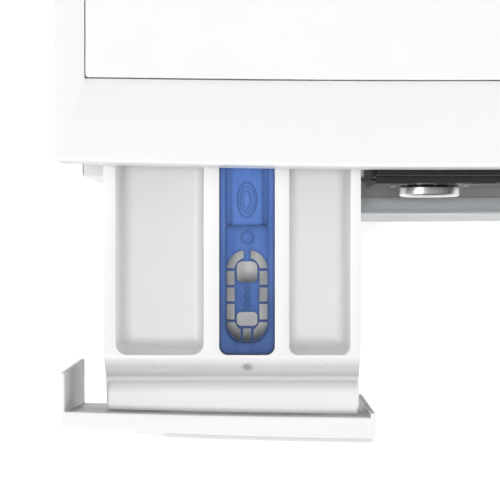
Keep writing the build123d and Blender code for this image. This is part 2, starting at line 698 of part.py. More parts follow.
def softener_insert():
    """Blue siphon cover: a rim, a sunken plate with its drain grid, a raised tongue and the siphon tube."""
    width = MIDDLE_POCKET[1] - MIDDLE_POCKET[0] - 2 * INSERT_CLEARANCE
    y0 = insert_place(0)
    y1 = POCKET_BACK_Y - 2
    middle_y = (y0 + y1) / 2
    outline = Pos(INSERT_X, middle_y) * RectangleRounded(width, y1 - y0, 6.5)
    plate = raised(outline, INSERT_BOTTOM_Z, INSERT_TOP_Z)
    plate = fillet(plate.faces().sort_by(Axis.Z)[-1].edges(), 0.8)
    plate = fillet(plate.faces().sort_by(Axis.Z)[0].edges(), INSERT_HINGE_RADIUS)
    grid_well = insert_window(GRID_HALF_WIDTH + 0.4, 0, 9.0, 102, 14)
    grid_well += insert_window(GRID_HALF_WIDTH + 0.4, 0, 60, 102, 0.5)
    plate -= raised(grid_well, INSERT_PLATE_Z, INSERT_TOP_Z + 1)
    back_well = insert_window(GRID_HALF_WIDTH + 0.4, 0, 103.2, 186, 0.5)
    plate -= raised(back_well, INSERT_PLATE_Z + 1.4, INSERT_TOP_Z + 1)
    tongue = insert_window(TONGUE_HALF_WIDTH, 0, 103.2, 156, 0.5)
    tongue += insert_window(TONGUE_HALF_WIDTH, 0, 130, 168, 12)
    plate += raised(tongue, INSERT_PLATE_Z, INSERT_TOP_Z + TONGUE_PROUD)
    plate -= insert_ovals()
    plate -= raised(insert_grid(), INSERT_BOTTOM_Z - 1, INSERT_TOP_Z + 1)
    plate += insert_marks()
    return OPENED * (plate + siphon_tube())


def insert_ovals():
    """Shallow oval thumb rest sunk in the tongue."""
    centre = Pos(INSERT_X, insert_place(123))
    outer = centre * Ellipse(8, 14.4) - centre * Ellipse(7.3, 13.7)
    dish = centre * Ellipse(5.6, 10.6)
    pad = centre * Ellipse(3, 7)
    top = INSERT_TOP_Z + TONGUE_PROUD
    rings = raised(outer, top - 0.5, top + 1)
    rings += raised(dish - pad, top - 0.7, top + 1)
    return rings


def insert_marks():
    """Small round studs on the grid's middle bridge and the ring mark behind the grid."""
    ring = Pos(INSERT_X, insert_place(93)) * (Circle(5.2) - Circle(4.3))
    solid = raised(ring, INSERT_PLATE_Z - 0.1, INSERT_PLATE_Z + 0.4)
    for d in (39, 45.5, 52):
        stud = Pos(INSERT_X, insert_place(d)) * (Circle(2.6) - Circle(1.7))
        solid += raised(stud, INSERT_PLATE_Z - 0.1, INSERT_PLATE_Z + 0.4)
    return solid


def siphon_tube():
    """Tube under the tongue that empties the compartment when it is flushed."""
    y = insert_place(140)
    outer = upright(9, INSERT_X, y, POCKET_FLOOR_Z + 6, INSERT_BOTTOM_Z + 0.1)
    return outer - upright(7, INSERT_X, y, POCKET_FLOOR_Z, INSERT_BOTTOM_Z - 2)


def dispenser_housing():
    """Box that the tray slides in, open at the front, with the outlet to the tub underneath."""
    x0 = TRAY_LEFT - BAY_SIDE_GAP
    x1 = TRAY_RIGHT + BAY_SIDE_GAP
    box = block(x0 - 2, x1 + 2, -253.5, 2, 734, TRAY_RIM_Z + 1.5)
    box -= block(x0, x1, -260, 0, 737, TRAY_RIM_Z + 9)
    bore = upright(OUTLET_BORE, OUTLET_X, OUTLET_Y, 700, 740)
    return box + upright(OUTLET_RADIUS, OUTLET_X, OUTLET_Y, 712, 735) - bore


def dispenser_cover():
    """Lid of the dispenser with its three spray channels and the water inlet stub."""
    x0 = TRAY_LEFT - 6
    x1 = TRAY_RIGHT + 6
    z0 = TRAY_RIM_Z + 1.5
    cover = block(x0, x1, -253.5, 2, z0, z0 + 2)
    for x in (-221, -152, -94):
        cover += block(x - 14, x + 14, -225, -6, z0 + 2, z0 + 4.5)
    cover += lengthwise(8, -152, z0 - 9, 2, 22) - lengthwise(6, -152, z0 - 9, 0, 30)
    cover += block(-160, -144, 2, 4, z0 - 17, z0 + 2) - lengthwise(6, -152, z0 - 9, 0, 30)
    return cover


# ---------------------------------------------------------------- door

def hinge_notch():
    """Space in the door's left edge for the hinge knuckles."""
    return block(-260, HINGE_ARM_END_X, DOOR_FRONT_Y - 5, DOOR_BACK_Y + 5, AXIS_Z - 46, AXIS_Z + 46)


def door_ring_solid():
    """Silver front ring, before the hinge notch and the handle opening are cut."""
    profile = [(DOOR_RADIUS, DOOR_SPLIT_Y), (DOOR_RADIUS, -302), (DOOR_RADIUS - 1.6, -305.6),
               (DOOR_RADIUS - 5, DOOR_FRONT_Y), (204, DOOR_FRONT_Y), (198, -306.8), (170, -298.5),
               (162, -297), (159.5, -295.5), (159.5, DOOR_SPLIT_Y)]
    return turned(profile)


def handle_pin(radius, reach):
    """Upright pin that the handle pivots on, reaching past both of its ends."""
    half = HANDLE_HALF_HEIGHT + reach
    return upright(radius, HANDLE_PIVOT_X, HANDLE_PIVOT_Y, AXIS_Z - half, AXIS_Z + half)


def handle_space(gap):
    """Block that the handle takes out of the ring."""
    half = HANDLE_HALF_HEIGHT + gap
    left = HANDLE_LEFT_X - 2.5 * gap
    return block(left, DOOR_RADIUS + 25, DOOR_FRONT_Y - 5, DOOR_SPLIT_Y + 5, AXIS_Z - half, AXIS_Z + half)


def door_ring():
    """Silver front ring with the handle's opening and the bores for its pin."""
    ring = door_ring_solid() - hinge_notch() - handle_space(HANDLE_GAP)
    return ring - handle_pin(HANDLE_PIN_RADIUS + RUNNING_GAP, HANDLE_PIN_REACH + 1)


def door_handle():
    """Lever that completes the ring on the right and pulls out from its outer edge."""
    piece = door_ring_solid() & handle_space(0)
    piece -= block(206, DOOR_RADIUS + 25, -301, DOOR_SPLIT_Y + 1, AXIS_Z - 44, AXIS_Z + 44)
    return piece + handle_pin(HANDLE_PIN_RADIUS, HANDLE_PIN_REACH)


def latch_hook():
    """Steel hook on the handle's back that reaches through the front panel into the lock."""
    hook = block(186, 190, DOOR_SPLIT_Y, -252, AXIS_Z - 6, AXIS_Z + 6)
    nose = block(190, 195, -259, -252, AXIS_Z - 6, AXIS_Z + 6)
    return hook + nose


def door_frame():
    """Dark inner frame of the door, with the glass seat, the finger recess and the hook slot."""
    profile = [(232, DOOR_SPLIT_Y), (232, DOOR_BACK_Y - 2), (230, DOOR_BACK_Y), (178, DOOR_BACK_Y),
               (178, -283), (152, -283), (152, -288.3), (165.5, -288.3), (165.5, DOOR_SPLIT_Y)]
    frame = turned(profile) - hinge_notch()
    frame -= block(HANDLE_LEFT_X - 4, 260, DOOR_SPLIT_Y - 5, -281, AXIS_Z - 62, AXIS_Z + 62)
    return frame - block(182, 200, -285, DOOR_BACK_Y + 5, AXIS_Z - 8, AXIS_Z + 8)


def door_glass():
    """Deep glass bowl with a flange held between the ring and the frame."""
    outer = [(163, -292.7), (163, -288.7), (147.5, -288.7), (146, -286), (121, -222), (112, -211),
             (98, -205.5), (0, -204), (0, -208.5), (97, -210), (108.5, -214.5), (116.5, -224),
             (141.5, -288), (144, -292.7)]
    return turned(outer)


def door_hinge_bracket():
    """Plate on the front panel with two lugs that carry the hinge pin."""
    half = HINGE_PLATE_HALF_HEIGHT
    radius = HINGE_KNUCKLE_RADIUS
    bracket = block(-262, -229, FRONT_Y - 2.2, FRONT_Y, AXIS_Z - half, AXIS_Z + half)
    bracket = fillet(bracket.edges().filter_by(Axis.Y), 5)
    for low, high in HINGE_LUGS_Z:
        lug = upright(radius, HINGE_X, HINGE_Y, AXIS_Z + low, AXIS_Z + high)
        lug += block(HINGE_X - radius, HINGE_X + radius, HINGE_Y, FRONT_Y - 1, AXIS_Z + low, AXIS_Z + high)
        bracket += lug
    return bracket - upright(HINGE_PIN_RADIUS + RUNNING_GAP, HINGE_X, HINGE_Y, AXIS_Z - half, AXIS_Z + half)


def door_hinge_arm():
    """Knuckle, pin and arm fastened to the door frame."""
    low = AXIS_Z - HINGE_KNUCKLE_HALF_HEIGHT
    high = AXIS_Z + HINGE_KNUCKLE_HALF_HEIGHT
    arm = upright(HINGE_KNUCKLE_RADIUS, HINGE_X, HINGE_Y, low, high)
    arm += block(HINGE_X, HINGE_ARM_END_X, HINGE_Y - 5, HINGE_Y + 6, low, high)
    return arm + upright(HINGE_PIN_RADIUS, HINGE_X, HINGE_Y, low - 14, high + 14)


def door_lock():
    """Lock housing behind the front panel with the pocket that takes the hook."""
    lock = block(176, 226, FRONT_Y + SHEET, -248.4, AXIS_Z - 36, AXIS_Z + 36)
    return lock - block(180.5, 213, FRONT_Y, -250, AXIS_Z - 10, AXIS_Z + 10)


# ---------------------------------------------------------------- gasket

def door_gasket():
    """Rubber bellows from the front panel's opening to the tub's mouth, with its sealing lip."""
    profile = [(167.5, -275.2), (168.5, -276.6), (167.5, -278.3), (163, -278.9), (158.5, -278),
               (157, -274), (157, -265), (150, -263.5), (140, -266), (139.5, -264.2), (149.5, -260.5),
               (158, -260), (158.5, -249), (170, -243.5), (182, -241), (183.5, -238.5), (178, -236.2),
               (173.6, -236), (172.6, -233), (172.6, -217), (174.8, -217), (175.6, -232.5), (179, -233.6),
               (185, -236), (187, -239.5), (184, -243.4), (172, -246.4), (161.5, -252.5), (161.5, -275.2)]
    return turned(profile)


def gasket_clamp_ring():
    """Wire ring that holds the gasket to the front panel, with its tension spring at the bottom."""
    ring_y = -280.5
    radius = 163.2
    ring = Pos(0, ring_y, AXIS_Z) * Rot(90, 0, 0) * Torus(radius, 1.2)
    coil = Pos(0, ring_y, AXIS_Z - radius) * Rot(0, 90, 0) * Cylinder(1.5, 26)
    return ring + coil


# ---------------------------------------------------------------- washing group

def tub_front():
    """Front half of the tub with its mouth collar, the dispenser inlet and the sump outlet."""
    inner = TUB_RADIUS - TUB_WALL
    mouth, collar_outer = TUB_COLLAR
    flange_y = TUB_SPLIT_Y - TUB_FLANGE_DEPTH
    collar = [(mouth, TUB_COLLAR_FRONT_Y), (collar_outer, TUB_COLLAR_FRONT_Y), (collar_outer, TUB_FRONT_Y),
              (TUB_RADIUS - 10, TUB_FRONT_Y), (TUB_RADIUS, TUB_FRONT_Y + 10), (TUB_RADIUS, flange_y),
              (TUB_FLANGE_RADIUS, flange_y), (TUB_FLANGE_RADIUS, TUB_SPLIT_Y), (inner, TUB_SPLIT_Y),
              (inner, TUB_FRONT_Y + 12), (inner - 8, TUB_FRONT_Y + TUB_WALL),
              (mouth, TUB_FRONT_Y + TUB_WALL)]
    tub = turned(collar)
    inlet = upright(OUTLET_RADIUS, OUTLET_X, OUTLET_Y, *TUB_INLET_Z)
    bore = upright(TUB_INLET_BORE, OUTLET_X, OUTLET_Y, TUB_INLET_Z[0] - 30, TUB_INLET_Z[1] + 4)
    outlet = upright(TUB_SPOUT_RADIUS, SUMP_X, SUMP_Y, *TUB_SPOUT_Z)
    sump_bore = upright(TUB_SPOUT_BORE, SUMP_X, SUMP_Y, TUB_SPOUT_Z[0] - 10, TUB_SPOUT_Z[1] + 20)
    inside = lengthwise(inner, 0, AXIS_Z, TUB_FRONT_Y + TUB_WALL, TUB_SPLIT_Y)
    return tub + (inlet - inside) + (outlet - inside) - bore - sump_bore


def tub_rear():
    """Rear half of the tub: ribbed end wall, bearing hub, spring lugs and damper lugs."""
    inner = TUB_RADIUS - TUB_WALL
    front_y = TUB_SPLIT_Y + 0.2
    flange_y = TUB_SPLIT_Y + TUB_FLANGE_DEPTH
    wall_y = TUB_BACK_Y - TUB_END_WALL
    profile = [(inner, front_y), (TUB_FLANGE_RADIUS, front_y), (TUB_FLANGE_RADIUS, flange_y),
               (TUB_RADIUS, flange_y), (TUB_RADIUS, TUB_BACK_Y - 8), (TUB_RADIUS - 8, TUB_BACK_Y),
               (HUB_RADIUS, TUB_BACK_Y), (HUB_RADIUS, HUB_BACK_Y), (HUB_BORE, HUB_BACK_Y), (HUB_BORE, wall_y),
               (inner - 6, wall_y), (inner, wall_y - 6)]
    tub = turned(profile)
    for index in range(RIB_COUNT):
        rib = block(HUB_RADIUS - 2, RIB_REACH, TUB_BACK_Y - 1, TUB_BACK_Y + RIB_HEIGHT,
                    -RIB_HALF_WIDTH, RIB_HALF_WIDTH)
        tub += Pos(0, 0, AXIS_Z) * Rot(0, index * 360 / RIB_COUNT, 0) * rib
    for y in BEARING_PLACES:
        tub -= lengthwise(BEARING_OUTER, 0, AXIS_Z, y, y + BEARING_WIDTH)
    inside = lengthwise(inner + 0.5, 0, AXIS_Z, TUB_SPLIT_Y, TUB_BACK_Y - 1)
    for x in (-SPRING_X, SPRING_X):
        lug = block(x - SPRING_LUG_HALF_WIDTH, x + SPRING_LUG_HALF_WIDTH, SPRING_Y - SPRING_LUG_HALF_DEPTH,
                    SPRING_Y + SPRING_LUG_HALF_DEPTH, 560, SPRING_LOW_Z)
        tub += lug - inside
    for x in (-DAMPER_X, DAMPER_X):
        half = DAMPER_LUG_HALF_WIDTH
        lug = block(x - half, x + half, DAMPER_Y - half, DAMPER_Y + half, DAMPER_LUG_Z, 250)
        tub += lug - inside
    return tub


def front_counterweight():
    """Two cast half rings on the tub's front, with gaps at the top and the bottom."""
    inner, outer = FRONT_WEIGHT_RADII
    shoulder = outer - FRONT_WEIGHT_BEVEL
    back_y = TUB_FRONT_Y - 0.5
    ring = [(inner, FRONT_WEIGHT_Y), (shoulder, FRONT_WEIGHT_Y), (outer, FRONT_WEIGHT_Y + FRONT_WEIGHT_BEVEL),
            (outer, back_y - 13.5), (shoulder, back_y), (inner, back_y)]
    weight = turned(ring)
    half = FRONT_WEIGHT_HALF_GAP
    for low, high in ((-260, -150), (150, 260)):
        weight -= block(-half, half, FRONT_WEIGHT_Y - 10, TUB_FRONT_Y + 5, AXIS_Z + low, AXIS_Z + high)
    return weight - lengthwise(inner + 13, 0, AXIS_Z, FRONT_WEIGHT_Y - 10, TUB_FRONT_Y)


def top_counterweight():
    """Cast saddle on top of the tub."""
    weight = block(*TOP_WEIGHT_X, *TOP_WEIGHT_Y, *TOP_WEIGHT_Z)
    weight = vertical_edges(weight, TOP_WEIGHT_CORNER)
    flange = TUB_FLANGE_DEPTH + 1
    weight -= lengthwise(TUB_FLANGE_RADIUS + 0.5, 0, AXIS_Z, TUB_SPLIT_Y - flange, TUB_SPLIT_Y + flange)
    return weight - lengthwise(TUB_RADIUS + TUB_FIT, 0, AXIS_Z, -140, 140)


def drum_bearings():
    """Front and rear ball bearings of the drum shaft."""
    rings = []
    for y in BEARING_PLACES:
        ring = lengthwise(BEARING_OUTER, 0, AXIS_Z, y, y + BEARING_WIDTH)
        rings.append(ring - lengthwise(SHAFT_RADIUS + RUNNING_GAP, 0, AXIS_Z, y - 1, y + BEARING_WIDTH + 1))
    return Compound(children=rings)


def drum_shell():
    """Thin steel drum, open at the front with a rolled mouth."""
    inner = DRUM_RADIUS - DRUM_WALL
    profile = [(DRUM_MOUTH_RADIUS, DRUM_FRONT_Y - 4), (DRUM_MOUTH_RADIUS + 4, DRUM_FRONT_Y - 5),
               (DRUM_MOUTH_RADIUS + 10, DRUM_FRONT_Y), (DRUM_RADIUS - 14, DRUM_FRONT_Y + 4),
               (DRUM_RADIUS, DRUM_FRONT_Y + 16),
               (DRUM_RADIUS, DRUM_BACK_Y), (0, DRUM_BACK_Y), (0, DRUM_BACK_Y - 8), (60, DRUM_BACK_Y - 8),
               (150, DRUM_BACK_Y - DRUM_WALL), (inner, DRUM_BACK_Y - DRUM_WALL), (inner, DRUM_FRONT_Y + 17),
               (DRUM_RADIUS - 15, DRUM_FRONT_Y + 5.4), (DRUM_MOUTH_RADIUS + 9, DRUM_FRONT_Y + 1.4),
               (DRUM_MOUTH_RADIUS + 4, DRUM_FRONT_Y - 3.4), (DRUM_MOUTH_RADIUS, DRUM_FRONT_Y - 2.4)]
    return turned(profile)


def drum_paddles():
    """Three lifters inside the drum."""
    paddles = []
    inner = DRUM_RADIUS - DRUM_WALL
    foot = PADDLE_FOOT_HALF_WIDTH
    crest = PADDLE_CREST_HALF_WIDTH
    for index in range(PADDLE_COUNT):
        outline = [(-foot, 0), (-crest, PADDLE_HEIGHT), (crest, PADDLE_HEIGHT), (foot, 0)]
        face = make_face(Polyline(*outline, close=True))
        bar = extrude(Plane.XZ.offset(-PADDLE_BACK_Y) * face, amount=PADDLE_LENGTH)
        bar = fillet(bar.edges().filter_by(Axis.Y).sort_by(Axis.Z)[-2:], 8)
        bar = Pos(0, 0, -inner - 2) * bar
        bar &= lengthwise(inner, 0, 0, DRUM_FRONT_Y, DRUM_BACK_Y)
        paddles.append(Pos(0, 0, AXIS_Z) * Rot(0, 60 + index * 360 / PADDLE_COUNT, 0) * bar)
    return Compound(children=paddles)


def drum_spider():
    """Three-armed carrier behind the drum, with the drum shaft."""
    spider = lengthwise(SPIDER_HUB_RADIUS, 0, AXIS_Z, DRUM_BACK_Y, SPIDER_HUB_BACK_Y)
    half = SPIDER_ARM_HALF_WIDTH
    for index in range(SPIDER_ARMS):
        arm = block(0, SPIDER_REACH, DRUM_BACK_Y, DRUM_BACK_Y + SPIDER_ARM_DEPTH, -half, half)
        spider += Pos(0, 0, AXIS_Z) * Rot(0, 90 + index * 360 / SPIDER_ARMS, 0) * arm
    spider &= lengthwise(SPIDER_REACH, 0, AXIS_Z, DRUM_BACK_Y, SHAFT_END_Y)
    return spider + lengthwise(SHAFT_RADIUS, 0, AXIS_Z, SPIDER_HUB_BACK_Y - 4, SHAFT_END_Y)


def drum_pulley():
    """Large grooved pulley on the drum shaft, with five windows."""
    rim_inner = PULLEY_RADIUS - PULLEY_RIM
    rim = [(rim_inner, BELT_FRONT_Y - 1), (PULLEY_RADIUS, BELT_FRONT_Y - 1),
           (PULLEY_RADIUS, BELT_BACK_Y + 1), (rim_inner, BELT_BACK_Y + 1)]
    pulley = turned(rim)
    web = lengthwise(rim_inner + 2, 0, AXIS_Z, *PULLEY_WEB_Y)
    for index in range(PULLEY_WINDOWS):
        angle = math.radians(index * 360 / PULLEY_WINDOWS)
        x = WINDOW_CIRCLE * math.cos(angle)
        z = AXIS_Z - WINDOW_CIRCLE * math.sin(angle)
        web -= lengthwise(WINDOW_RADIUS, x, z, PULLEY_WEB_Y[0] - 5, PULLEY_WEB_Y[1] + 5)
    hub = lengthwise(PULLEY_HUB_RADIUS, 0, AXIS_Z, *PULLEY_HUB_Y)
    return pulley + web + hub - lengthwise(SHAFT_RADIUS, 0, AXIS_Z, PULLEY_HUB_Y[0] - 5, PULLEY_HUB_Y[1] + 5)


def motor_body():
    """Drive motor housing with its hollow and the saddle that hangs it from the tub."""
    body = lengthwise(MOTOR_RADIUS, MOTOR_X, MOTOR_Z, *MOTOR_Y)
    body = fillet(body.edges(), 6)
    half = MOTOR_BRACKET_HALF_WIDTH
    for y0, y1 in MOTOR_BRACKETS_Y:
        body += block(MOTOR_X - half, MOTOR_X + half, y0, y1, MOTOR_Z, 230)
    body -= lengthwise(TUB_RADIUS + TUB_FIT, 0, AXIS_Z, MOTOR_Y[0] - 15, MOTOR_Y[1] + 5)
    body -= lengthwise(MOTOR_HOLLOW_RADIUS, MOTOR_X, MOTOR_Z, *MOTOR_HOLLOW_Y)
    return body - lengthwise(MOTOR_SHAFT_RADIUS + RUNNING_GAP, MOTOR_X, MOTOR_Z, MOTOR_Y[0], MOTOR_Y[1] + 10)


def motor_rotor():
    """Rotor core, shaft and small belt pulley."""
    rotor = lengthwise(ROTOR_RADIUS, MOTOR_X, MOTOR_Z, *ROTOR_Y)
    rotor += lengthwise(MOTOR_SHAFT_RADIUS, MOTOR_X, MOTOR_Z, MOTOR_Y[0] + 5, BELT_BACK_Y + 4)
    return rotor + lengthwise(MOTOR_PULLEY_RADIUS, MOTOR_X, MOTOR_Z, BELT_FRONT_Y - 1, BELT_BACK_Y + 1)


def drive_belt():
    """Flat ribbed belt round both pulleys."""
    loops = []
    for grow in (BELT_FIT + BELT_THICKNESS, BELT_FIT):
        large = Pos(0, AXIS_Z) * CenterArc((0, 0), PULLEY_RADIUS + grow, 0, 360)
        small = Pos(MOTOR_X, MOTOR_Z) * CenterArc((0, 0), MOTOR_PULLEY_RADIUS + grow, 0, 360)
        loops.append(make_hull([*large.edges(), *small.edges()]))
    return fronted(loops[0] - loops[1], BELT_FRONT_Y, BELT_BACK_Y)


def heater_element():
    """Looped heating element in the tub's floor, with its terminal plate on the front wall."""
    z = AXIS_Z - TUB_RADIUS + TUB_WALL + 4.5
    loop = []
    for x in (-7, 7):
        loop.append(lengthwise(2.2, x, z, TUB_FRONT_Y + TUB_WALL + 6, -60))
    bend = Pos(0, -60, z) * Torus(7, 2.2) & block(-20, 20, -60, -40, z - 5, z + 5)
    return loop[0] + loop[1] + bend


def tub_springs():
    """Two coil springs that hang the tub from the rear crossbar."""
    springs = []
    low = SPRING_LOW_Z + SPRING_WIRE + 0.3
    height = SPRING_TOP_Z - SPRING_WIRE - 0.3 - low
    for x in (-SPRING_X, SPRING_X):
        path = Helix(pitch=SPRING_PITCH, height=height, radius=SPRING_COIL)
        section = Plane(path @ 0, z_dir=path % 0) * Circle(SPRING_WIRE)
        springs.append(Pos(x, SPRING_Y, low) * sweep(section, path, is_frenet=True))
    return Compound(children=springs)


def damper_cylinders():
    """Friction damper cylinders that stand on the base tray."""
    cylinders = []
    for x in (-DAMPER_X, DAMPER_X):
        body = upright(15, x, DAMPER_Y, BASE_BOTTOM + 3, 150)
        body += block(x - 22, x + 22, DAMPER_Y - 14, DAMPER_Y + 14, BASE_BOTTOM + 3, BASE_BOTTOM + 9)
        cylinders.append(body - upright(6.5, x, DAMPER_Y, BASE_BOTTOM + 20, 160))
    return Compound(children=cylinders)


def damper_rods():
    """Damper rods fixed to the tub, which plunge in the cylinders."""
    rods = []
    for x in (-DAMPER_X, DAMPER_X):
        eye = upright(11, x, DAMPER_Y, DAMPER_LUG_Z - 10, DAMPER_LUG_Z)
        rods.append(upright(6, x, DAMPER_Y, 70, DAMPER_LUG_Z) + eye)
    return Compound(children=rods)


def fill_hose():
    """Rubber bellows from the dispenser's outlet to the tub's inlet."""
    steps = []
    for index in range(7):
        z = 660.0 + index * 9
        steps += [(22.5, z), (25.5, z + 4.5)]
    outer = [(19, 641), (22.5, 641)] + steps + [(22.5, 733.5), (19, 733.5)]
    face = make_face(Plane.XZ * Polyline(*outer, close=True))
    return Pos(OUTLET_X, OUTLET_Y, 0) * revolve(face, Axis.Z, 360)


def sump_hose():
    """Rubber hose from the tub's outlet down and across to the pump."""
    corner = (SUMP_X, SUMP_Y, PUMP_Z)
    route = FilletPolyline((SUMP_X, SUMP_Y, 178), corner, (PUMP_X - 37.5, SUMP_Y, PUMP_Z), radius=24)
    section = Plane(route @ 0, z_dir=route % 0) * (Circle(22) - Circle(19))
    return sweep(section, route)


# ---------------------------------------------------------------- drain pump, flap and feet

def drain_pump():
    """Filter housing, volute with its outlet stub, and motor, on one axis."""
    body = lengthwise(37, PUMP_X, PUMP_Z, -252, -128)
    body += lengthwise(27, PUMP_X, PUMP_Z, -129, -70)
    body += block(PUMP_X - 30, PUMP_X + 30, -233, -150, BASE_BOTTOM + 3, PUMP_Z)
    body -= lengthwise(33, PUMP_X, PUMP_Z, -260, -168)
    body -= lengthwise(25, PUMP_X, PUMP_Z, -170, -140)
    body -= lengthwise(3 + RUNNING_GAP, PUMP_X, PUMP_Z, -145, -100)
    body -= crosswise(16, SUMP_Y - 20, PUMP_Z, PUMP_X - 60, PUMP_X - 20)
    outlet = upright(11, PUMP_X + 20, -152, PUMP_Z, PUMP_Z + 62)
    outlet -= upright(8.5, PUMP_X + 20, -152, PUMP_Z, PUMP_Z + 70)
    return body + (outlet - lengthwise(36, PUMP_X, PUMP_Z, -200, -120))


def pump_impeller():
    """Four-bladed wheel on its shaft."""
    wheel = lengthwise(7, PUMP_X, PUMP_Z, -158, -141)
    for index in range(4):
        blade = block(0, 22, -157, -143, -1, 1)
        wheel += Pos(PUMP_X, 0, PUMP_Z) * Rot(0, index * 90, 0) * blade
    return wheel + lengthwise(3, PUMP_X, PUMP_Z, -142, -102)


def drain_filter():
    """Screw-in lint filter with its grip and a strainer basket."""
    cap = lengthwise(32, PUMP_X, PUMP_Z, -258, -249)
    grip = block(PUMP_X - 26, PUMP_X + 26, -268, -257.5, PUMP_Z - 4, PUMP_Z + 4)
    basket = lengthwise(26, PUMP_X, PUMP_Z, -250, -190) - lengthwise(24, PUMP_X, PUMP_Z, -246, -189)
    for index in range(8):
        slot = block(10, 40, -240, -198, -4, 4)
        basket -= Pos(PUMP_X, 0, PUMP_Z) * Rot(0, index * 45, 0) * slot
    return cap + grip + basket


def service_flap():
    """Flap over the drain filter, with its two pivot stubs and a finger notch."""
    half = 60.3
    flap = block(PUMP_X - half, PUMP_X + half, FRONT_Y - 0.6, FRONT_Y + 2.4, 29.8, 126)
    flap = fillet(flap.edges().filter_by(Axis.Y), 4)
    flap -= block(PUMP_X - 14, PUMP_X + 14, FRONT_Y - 1, FRONT_Y + 1, 119, 127)
    flap += crosswise(2.4, FLAP_Y, FLAP_Z, PUMP_X - half - 5, PUMP_X + half + 5)
    return flap


def levelling_foot(x, y):
    """Round pad with a threaded stem and its lock nut."""
    foot = upright(FOOT_PAD_RADIUS, x, y, 0, 11)
    foot = fillet(foot.edges().sort_by(Axis.Z)[-1], 3)
    foot += Pos(x, y, 0) * raised(RegularPolygon(9.5, 6), 11, 19.4)
    return foot + upright(5, x, y, 19, 60)


# ---------------------------------------------------------------- rear fittings

def inlet_valve():
    """Water valve with the threaded hose connector that stands out of the back."""
    wall = BACK_Y - 3
    valve = block(VALVE_X - 22, VALVE_X + 22, wall - 60, wall - 16, FITTING_Z - 20, FITTING_Z + 24)
    valve += lengthwise(19, VALVE_X, FITTING_Z, wall - 16, wall)
    valve += lengthwise(VALVE_RADIUS, VALVE_X, FITTING_Z, wall - 0.1, REAR_REACH_Y)
    return valve - lengthwise(VALVE_BORE, VALVE_X, FITTING_Z, wall - 12, REAR_REACH_Y + 1)


def drain_outlet():
    """Spigot for the drain hose, with a flange on the inside of the back."""
    wall = BACK_Y - 3
    spigot = lengthwise(SPIGOT_RADIUS, SPIGOT_X, FITTING_Z, wall - 30, REAR_REACH_Y)
    spigot += lengthwise(18, SPIGOT_X, FITTING_Z, wall - 4, wall)
    return spigot - lengthwise(SPIGOT_BORE, SPIGOT_X, FITTING_Z, wall - 31, REAR_REACH_Y + 1)


def cord_gland():
    """Grommet for the mains cord in the back panel."""
    wall = BACK_Y - 3
    gland = lengthwise(GLAND_RADIUS, GLAND_X, FITTING_Z, wall - 6, wall + 7)
    gland += lengthwise(GLAND_RADIUS + 4, GLAND_X, FITTING_Z, wall + SHEET, wall + 4)
    gland += lengthwise(GLAND_RADIUS + 3, GLAND_X, FITTING_Z, wall - 6, wall)
    return gland - lengthwise(GLAND_BORE, GLAND_X, FITTING_Z, wall - 20, wall + 20)


def build():
    """Write every sub-part."""
    os.makedirs("parts", exist_ok=True)
    save("base_frame", base_frame())
    save("side_panel_left", side_panel(-1))
    save("side_panel_right", side_panel(1))
    for name, maker in NODE_MAKERS.items():
        save(name, maker())
    save("power_button", push_button(BUTTON_X[1]))
    save("start_button", push_button(BUTTON_X[0]))
    for name, x, y in (("foot_front_left", -FOOT_X, -FOOT_Y), ("foot_front_right", FOOT_X, -FOOT_Y),
                       ("foot_rear_left", -FOOT_X, FOOT_Y), ("foot_rear_right", FOOT_X, FOOT_Y)):
        save(name, levelling_foot(x, y))


NODE_MAKERS = {maker.__name__: maker for maker in (
    front_panel, rear_panel, rear_service_cover, cabinet_screws, top_crossbars, worktop_frame, worktop_board,
    fascia_shell, control_glass, control_board, program_knob, drawer_front, drawer_tray, softener_insert,
    dispenser_housing, dispenser_cover, door_ring, door_handle, latch_hook, door_frame, door_glass,
    door_hinge_bracket, door_hinge_arm, door_lock, door_gasket, gasket_clamp_ring, tub_front, tub_rear,
    front_counterweight, top_counterweight, drum_bearings, drum_shell, drum_paddles, drum_spider, drum_pulley,
    motor_body, motor_rotor, drive_belt, heater_element, tub_springs, damper_cylinders, damper_rods,
    fill_hose, sump_hose, drain_pump, pump_impeller, drain_filter, service_flap, inlet_valve, drain_outlet,
    cord_gland)}

build()
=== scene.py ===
import json
import math
import bmesh
import bpy
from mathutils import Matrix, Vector


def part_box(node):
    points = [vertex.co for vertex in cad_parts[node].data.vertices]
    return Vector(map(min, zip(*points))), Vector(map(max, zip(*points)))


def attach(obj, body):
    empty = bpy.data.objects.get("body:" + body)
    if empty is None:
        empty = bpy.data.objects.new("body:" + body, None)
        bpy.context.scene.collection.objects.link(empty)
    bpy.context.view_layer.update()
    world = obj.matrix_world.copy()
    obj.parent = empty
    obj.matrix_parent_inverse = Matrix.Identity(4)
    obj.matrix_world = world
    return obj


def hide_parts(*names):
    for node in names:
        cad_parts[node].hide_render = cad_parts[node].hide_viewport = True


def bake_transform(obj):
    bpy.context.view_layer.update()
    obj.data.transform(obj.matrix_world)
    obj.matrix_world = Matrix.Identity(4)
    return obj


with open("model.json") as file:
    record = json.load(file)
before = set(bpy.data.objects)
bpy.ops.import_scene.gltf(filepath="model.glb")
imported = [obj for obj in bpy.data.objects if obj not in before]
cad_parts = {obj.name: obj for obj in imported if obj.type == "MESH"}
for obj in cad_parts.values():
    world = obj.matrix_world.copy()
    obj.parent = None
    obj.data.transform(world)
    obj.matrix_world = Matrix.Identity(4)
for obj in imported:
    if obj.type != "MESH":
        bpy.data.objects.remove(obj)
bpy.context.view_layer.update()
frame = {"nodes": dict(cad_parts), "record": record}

NODES = frame["nodes"]
MM = 0.001
HOLLOW_SAMPLES = 12
COAT_ROUGHNESS = 0.06


# ---------------------------------------------------------------- material tools

